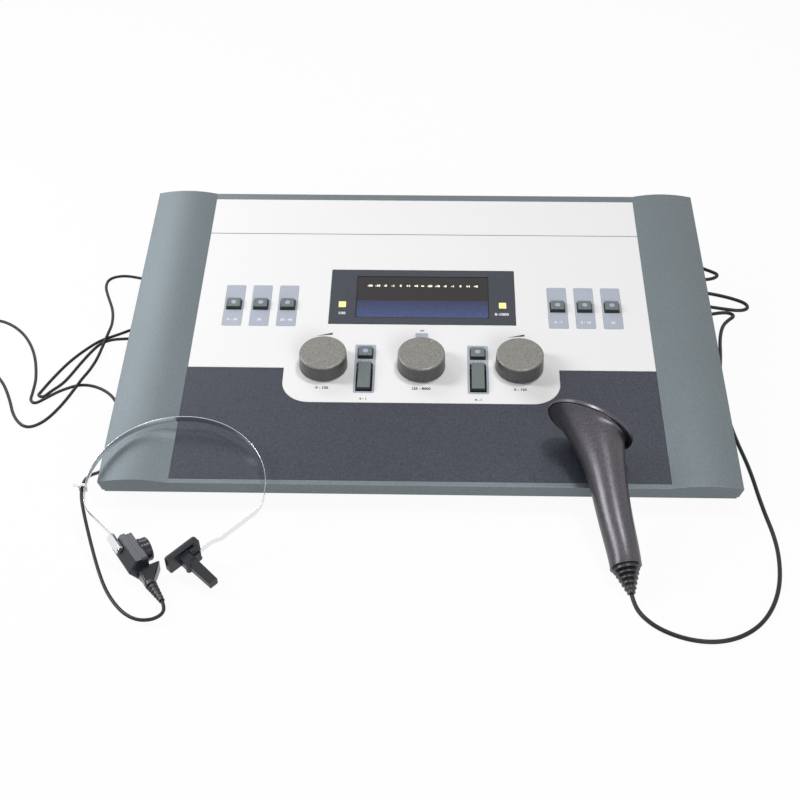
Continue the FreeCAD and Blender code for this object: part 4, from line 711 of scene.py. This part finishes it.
def board_finish():
    """Green lacquered board with copper tracks showing through."""
    made, tree, shader, place = new_material("board_green")
    track_pitch = 30.0 * mm
    colours = {"Color1": (0.02, 0.13, 0.05, 1.0), "Color2": (0.015, 0.10, 0.04, 1.0),
               "Mortar": (0.06, 0.24, 0.09, 1.0)}
    form = {"Vector": place, "Scale": 1.0 / track_pitch, "Mortar Size": 0.02}
    tracks = node(tree, "ShaderNodeTexBrick", {**form, **colours})
    feed(tree, shader, base_color=tracks.outputs["Color"],
         roughness=spread(tree, noise(tree, place, 2.0 * mm), 0.25, 0.4))
    return made


marking_dark = grained("marking_dark", linear(52, 58, 62), 0.5,
                       grain=0.5 * mm, contrast=0.1, edge=0.02 * mm)
marking_light = grained("marking_light", linear(236, 238, 240), 0.5,
                        grain=0.5 * mm, contrast=0.03, edge=0.02 * mm)
steel = bright_metal("steel_plain", (0.6, 0.6, 0.61, 1.0), 0.30)
spring_steel = bright_metal("spring_steel", (0.80, 0.82, 0.84, 1.0), 0.16, 0.1 * mm)
clip_white = grained("clip_plastic", linear(236, 236, 232), 0.35, grain=0.8 * mm, contrast=0.02)
black_moulding = grained("black_moulding", linear(34, 35, 38), 0.4, grain=0.6 * mm, contrast=0.12)


def finish_cad():
    """Gives every piece of the part's own shapes its finish."""
    finish_with(housing_finish(), "top_housing", "base_housing")
    finish_with(white_overlay_finish(), "upper_overlay")
    finish_with(grained("overlay_dark", linear(56, 60, 70), 0.40, 0.15, grain=1.6 * mm, contrast=0.42,
                        relief=0.03 * mm, ior_level=0.35),
                "lower_overlay")
    finish_with(grained("bezel_dark", linear(58, 62, 71), 0.45, grain=1.4 * mm, contrast=0.25,
                        ior_level=0.3),
                "display_bezel")
    finish_with(window_finish(), "display_window")
    # The amber lenses get a painted glow; no lamp lights them.
    finish_with(cloudy_finish_painted_glow("lamp_amber", linear(240, 232, 130), linear(252, 248, 168), 0.3),
                "indicator_lenses")
    finish_with(cloudy_finish_painted_glow("light_pipe_blue", linear(104, 118, 142), linear(136, 150, 182), 0.0),
                "key_leds")
    finish_with(grained("plate_blue_grey", linear(172, 178, 191), 0.55, grain=0.8 * mm, contrast=0.05),
                "key_plates")
    finish_with(key_finish("key_caps", side_keys[0]), *side_keys, *centre_keys)
    finish_with(key_finish("tone_bar_caps", "tone_bar_left"), "tone_bar_left", "tone_bar_right")
    finish_with(knob_finish(), "level_knob_left", "frequency_knob", "level_knob_right")
    finish_with(steel, "level_shaft_left", "frequency_shaft", "level_shaft_right", "tone_bar_brackets",
                "housing_screws", "encoder_bodies", "power_supply")
    finish_with(spring_steel, "headband", "vibrator_yoke")
    finish_with(board_finish(), "control_board", "main_board")
    finish_with(black_moulding, "audio_jacks", "mains_inlet", "power_switch_frame", "power_rocker",
                "key_switches", "display_module", "level_meter", "handset_switch", "handset_plug",
                "headset_plug")
    finish_with(grained("rear_plate_paint", linear(110, 115, 120), 0.5, 0.3, contrast=0.1),
                "rear_panel")
    finish_with(grained("rubber_black", linear(40, 40, 43), 0.62, grain=0.7 * mm, contrast=0.15),
                "rubber_feet")
    finish_with(grained("handset_lacquer", linear(88, 86, 90), 0.33, 0.9, grain=1.3 * mm, contrast=0.28,
                        relief=0.03 * mm, edge=0.5 * mm, ior_level=0.35),
                "handset_body", "handset_cap")
    finish_with(grained("button_plastic", linear(44, 45, 50), 0.35, grain=0.6 * mm),
                "response_button")
    finish_with(grained("boot_rubber", linear(36, 36, 40), 0.36, grain=0.6 * mm, contrast=0.12),
                "handset_boot", "vibrator_boot")
    finish_with(grained("vibrator_plastic", linear(22, 25, 34), 0.24, grain=0.6 * mm, contrast=0.08,
                        coat=0.2, ior_level=0.35),
                "vibrator_case", "vibrator_face", "vibrator_plug", "pad_arm")
    finish_with(grained("pad_rubber", linear(24, 27, 35), 0.34, grain=0.7 * mm, contrast=0.12,
                        edge=0.5 * mm, ior_level=0.35),
                "temple_pad")


finish_cad()

# ---------------------------------------------------------------- headset band
band_centre = (-179.5, 81.6)
band_radius = 66.5
band_width = 6.0
band_thickness = 0.9
headset_plane = Matrix.Translation(at((0.0, -262.0, 9.8))) @ Matrix.Rotation(radians(11.6), 4, "X")
# From the top of the band to the vibrator's clip, and to the temple pad, with the kink above it.
left_steps = ((band_radius, 99.0), (28.0, 36.0), (27.0, None))
right_steps = ((band_radius, -100.0), (20.0, -34.0), (30.0, None),
               (5.0, -22.0), (4.5, None), (5.0, 22.0), (11.5, None))
# The strap that ties the cord to the band, across and up the headset's plane.
band_tie_width = 2.6
band_tie_thickness = 0.7
band_tie_v = 80.9
band_tie_inner = -250.5
band_tie_outer = -245.1
band_tie_half = 3.8
band_tie_tail = ((-250.4, 2.2, 0.0), (-252.0, 2.9, 0.0), (-254.4, 3.1, 0.0))


def chain(start, heading, steps):
    """Points of tangent arcs and lines; a step is (radius, turn) or (length, None)."""
    here, angle = Vector(start), radians(heading)
    points = [here.copy()]
    for size, turn in steps:
        if turn is None:
            here = here + size * Vector((cos(angle), sin(angle)))
            points.append(here)
            continue
        side = 1 if turn > 0 else -1
        pieces = max(3, round(abs(turn) / 4))
        centre = here + side * size * Vector((-sin(angle), cos(angle)))
        for i in range(pieces):
            angle += radians(turn) / pieces
            points.append(centre - side * size * Vector((-sin(angle), cos(angle))))
        here = points[-1]
    return points


def make_band():
    """Spring band with rounded edges, from the vibrator's clip round to the temple pad."""
    top = (band_centre[0], band_centre[1] + band_radius)
    left, right = chain(top, 180.0, left_steps), chain(top, 0.0, right_steps)
    points = [(*p, 0.0) for p in [*reversed(left), *right[1:]]]
    mesh = grown(strip, spring_steel, path_mesh(points), width=band_width * mm,
                 thickness=band_thickness * mm)
    mesh.transform(headset_plane)
    mesh.shade_smooth()
    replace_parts(placed("spring_band", mesh, spring_steel, "headset"), "headband")


def make_band_tie():
    """White strap that ties the cord to the band's outer side, with its cut end standing out."""
    loop = strap_loop(band_tie_inner, band_tie_outer, -band_tie_half, band_tie_half)
    mesh = strap(loop, band_tie_tail, clip_white, band_tie_width, band_tie_thickness)
    mesh.transform(headset_plane @ Matrix.Translation(at((0.0, band_tie_v, 0.0))) @ upright)
    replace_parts(placed("band_tie", mesh, clip_white, "headset"), "cord_clip")


make_band()
make_band_tie()


# ---------------------------------------------------------------- markings
print_lift = 0.03               # the print's middle over the ground that it stands on


def lettering(entries, surface, ground=0.0, weight=0.035):
    """Raised print: each entry is its text, its place across and up the surface, and its size."""
    meshes = []
    for text, across, up, size in entries:
        curve = bpy.data.curves.new("print", "FONT")
        curve.body = text
        curve.align_x, curve.align_y = "CENTER", "CENTER"
        curve.size = size * mm
        curve.extrude = 0.05 * mm
        curve.offset = weight * size * mm
        curve.resolution_u = 2
        mesh = closed_up(mesh_of(bpy.data.objects.new("print", curve)))
        mesh.transform(surface @ Matrix.Translation(at((across, up, ground + print_lift))))
        meshes.append(mesh)
    return meshes


def wedge(points, surface, ground=0.0):
    """Raised flat mark with this outline, which reaches a little into its ground."""
    mesh = bpy.data.meshes.new("wedge")
    count = len(points)
    sides = [(i, (i + 1) % count, (i + 1) % count + count, i + count) for i in range(count)]
    faces = [tuple(reversed(range(count))), tuple(range(count, 2 * count)), *sides]
    heights = (ground - 0.02, ground + 0.08)
    mesh.from_pydata([at((*p, n)) for n in heights for p in points], [], faces)
    mesh.transform(surface)
    return closed_up(mesh)


scale_v = -72.2                 # the words under the knobs
scale_size = 3.5
centre_scale_v = -83.9          # the words under the two bars
centre_scale_size = 3.0
small_plate_v = -5.6            # the words over the small plate behind the middle knob
small_plate_size = 2.4
knob_mark = ((-7.6, -12.7), (5.4, -11.2), (5.4, -8.8))      # across from the knob, and up the panel
step_v = 6.0                    # the words under the side keys
step_size = 3.5
centre_step_v = -41.6
centre_step_size = 2.2
lens_words = (("100", -66.9), ("0-1000", 66.0))
lens_words_v = 14.6
lens_words_size = 4.2
meter_first_u = (-44.5, 6.0)
meter_pitch = 6.5
meter_v = 49.5
meter_size = 3.2
meter_bar_half = (1.2, 0.6)
key_disc_radius = 2.3
key_disc_depth = 0.07
key_disc_sunk = 0.06            # from the key's roof down to the disc's middle


def mark_panel():
    """Print on the white panel, the key plates and the window's frame."""
    dark = [(text, u, scale_v, scale_size)
            for text, u in (("0 - 120", -knob_u), ("125 - 8000", 0.0), ("0 - 120", knob_u))]
    centre_columns = [panel_middle(key).x for key in centre_keys]
    dark += [("0 - 1", u, centre_scale_v, centre_scale_size) for u in centre_columns]
    dark.append(("100", 0.0, small_plate_v, small_plate_size))
    meshes = lettering(dark, panel)
    for middle in (-knob_u, knob_u):
        meshes.append(wedge([(middle + u, v) for u, v in knob_mark], panel))
    placed("print_on_white", joined(meshes), marking_dark, "console")

    steps = ("0 - 10", "20", "30 - 40", "0 - 1", "2 - 10", "20")
    light = [(text, panel_middle(key).x, step_v, step_size) for text, key in zip(steps, side_keys)]
    light += [("0 - 1", u, centre_step_v, centre_step_size) for u in centre_columns]
    plates = joined(lettering(light, panel, panel_box("key_plates")[1].z))
    placed("print_on_plates", plates, marking_light, "console")
    ranges = [(text, u, lens_words_v, lens_words_size) for text, u in lens_words]
    bezel = joined(lettering(ranges, panel, panel_box("display_bezel")[1].z))
    placed("print_on_bezel", bezel, marking_light, "console")


def mark_meter():
    """Two level scales side by side, with a bar between them."""
    scale = ("-20", "-10", "-3", "-1", "0", "+1", "+3")
    entries = []
    for start in meter_first_u:
        for i, text in enumerate(scale):
            entries.append((text, start + meter_pitch * i, meter_v, meter_size))
    glass = panel_box("display_window")[1].z
    meshes = lettering(entries, panel, glass, 0.05)
    across, up = meter_bar_half
    bar = [(u * across, meter_v + v * up) for u, v in ((-1, -1), (1, -1), (1, 1), (-1, 1))]
    meshes.append(wedge(bar, panel, glass))
    # The printed scale gets a painted glow; the meter behind it is not lit.
    finish = cloudy_finish_painted_glow("meter_print", linear(240, 232, 200), linear(255, 250, 228), 0.7)
    placed("meter_scale", joined(meshes), finish, "console")


def fill_keys():
    """Clear disc flush in each key's roof, over the light pipe that stands under it."""
    clear = cloudy_finish_painted_glow("key_window_blue", linear(150, 160, 184), linear(176, 186, 208), 0.0)
    for key in (*centre_keys, *side_keys):
        work = bmesh.new()
        u, v, _ = panel_middle(key)
        middle = Matrix.Translation(at((u, v, panel_box(key)[1].z - key_disc_sunk)))
        bmesh.ops.create_cone(work, cap_ends=True, segments=32, radius1=key_disc_radius * mm,
                              radius2=key_disc_radius * mm, depth=key_disc_depth * mm,
                              matrix=panel @ middle)
        disc = bpy.data.meshes.new("disc")
        work.to_mesh(disc)
        work.free()
        placed("window_in_" + key, disc, clear, key)


mark_panel()
mark_meter()
fill_keys()

# ---------------------------------------------------------------- rear plate
rear_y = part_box("rear_panel")[1].y / mm
power_switch_x = box_middle("power_switch_frame").x
switch_mark_across = 10.2       # from the switch's middle
switch_mark_up = 6.0
number_up = 11.4                # from a socket's middle
rear_print_size = 4.0
plate_screw_up = 15.6
plate_screw_first = -145.5
plate_screw_pitch = 97.0
rear_face = Matrix(((-1, 0, 0, 0), (0, 0, 1, rear_y * mm), (0, 1, 0, 0), (0, 0, 0, 1)))


def dress_rear():
    """Cross-head screws in two rows, rings round the sockets, their numbers and the switch's marks."""
    screws = screw_tree()
    rows = []
    for up in (connector_z + plate_screw_up, connector_z - plate_screw_up):
        row = grown(screws, steel, count=4, pitch=plate_screw_pitch * mm, radius=2.1 * mm,
                    height=1.2 * mm, recess=0.7 * mm)
        row.transform(rear_face @ Matrix.Translation(at((plate_screw_first, up, -0.05))))
        rows.append(row)
    placed("rear_plate_screws", joined(rows), steel, "console")
    rings = grown(ring_tree(), steel, count=jack_count, pitch=-jack_pitch * mm, radius=7.0 * mm,
                  wire=0.55 * mm)
    rings.transform(rear_face @ Matrix.Translation(at((-jack_first_x, connector_z, 0.3))))
    rings.shade_smooth()
    placed("socket_rings", rings, steel, "console")
    entries = [(str(i + 1), -(jack_first_x + jack_pitch * i), connector_z + number_up, rear_print_size)
               for i in range(jack_count)]
    entries += [(text, -power_switch_x + switch_mark_across, connector_z + up, rear_print_size)
                for text, up in (("I", switch_mark_up), ("O", -switch_mark_up))]
    print_mesh = joined(lettering(entries, rear_face))
    placed("print_on_rear", print_mesh, marking_light, "console")


dress_rear()
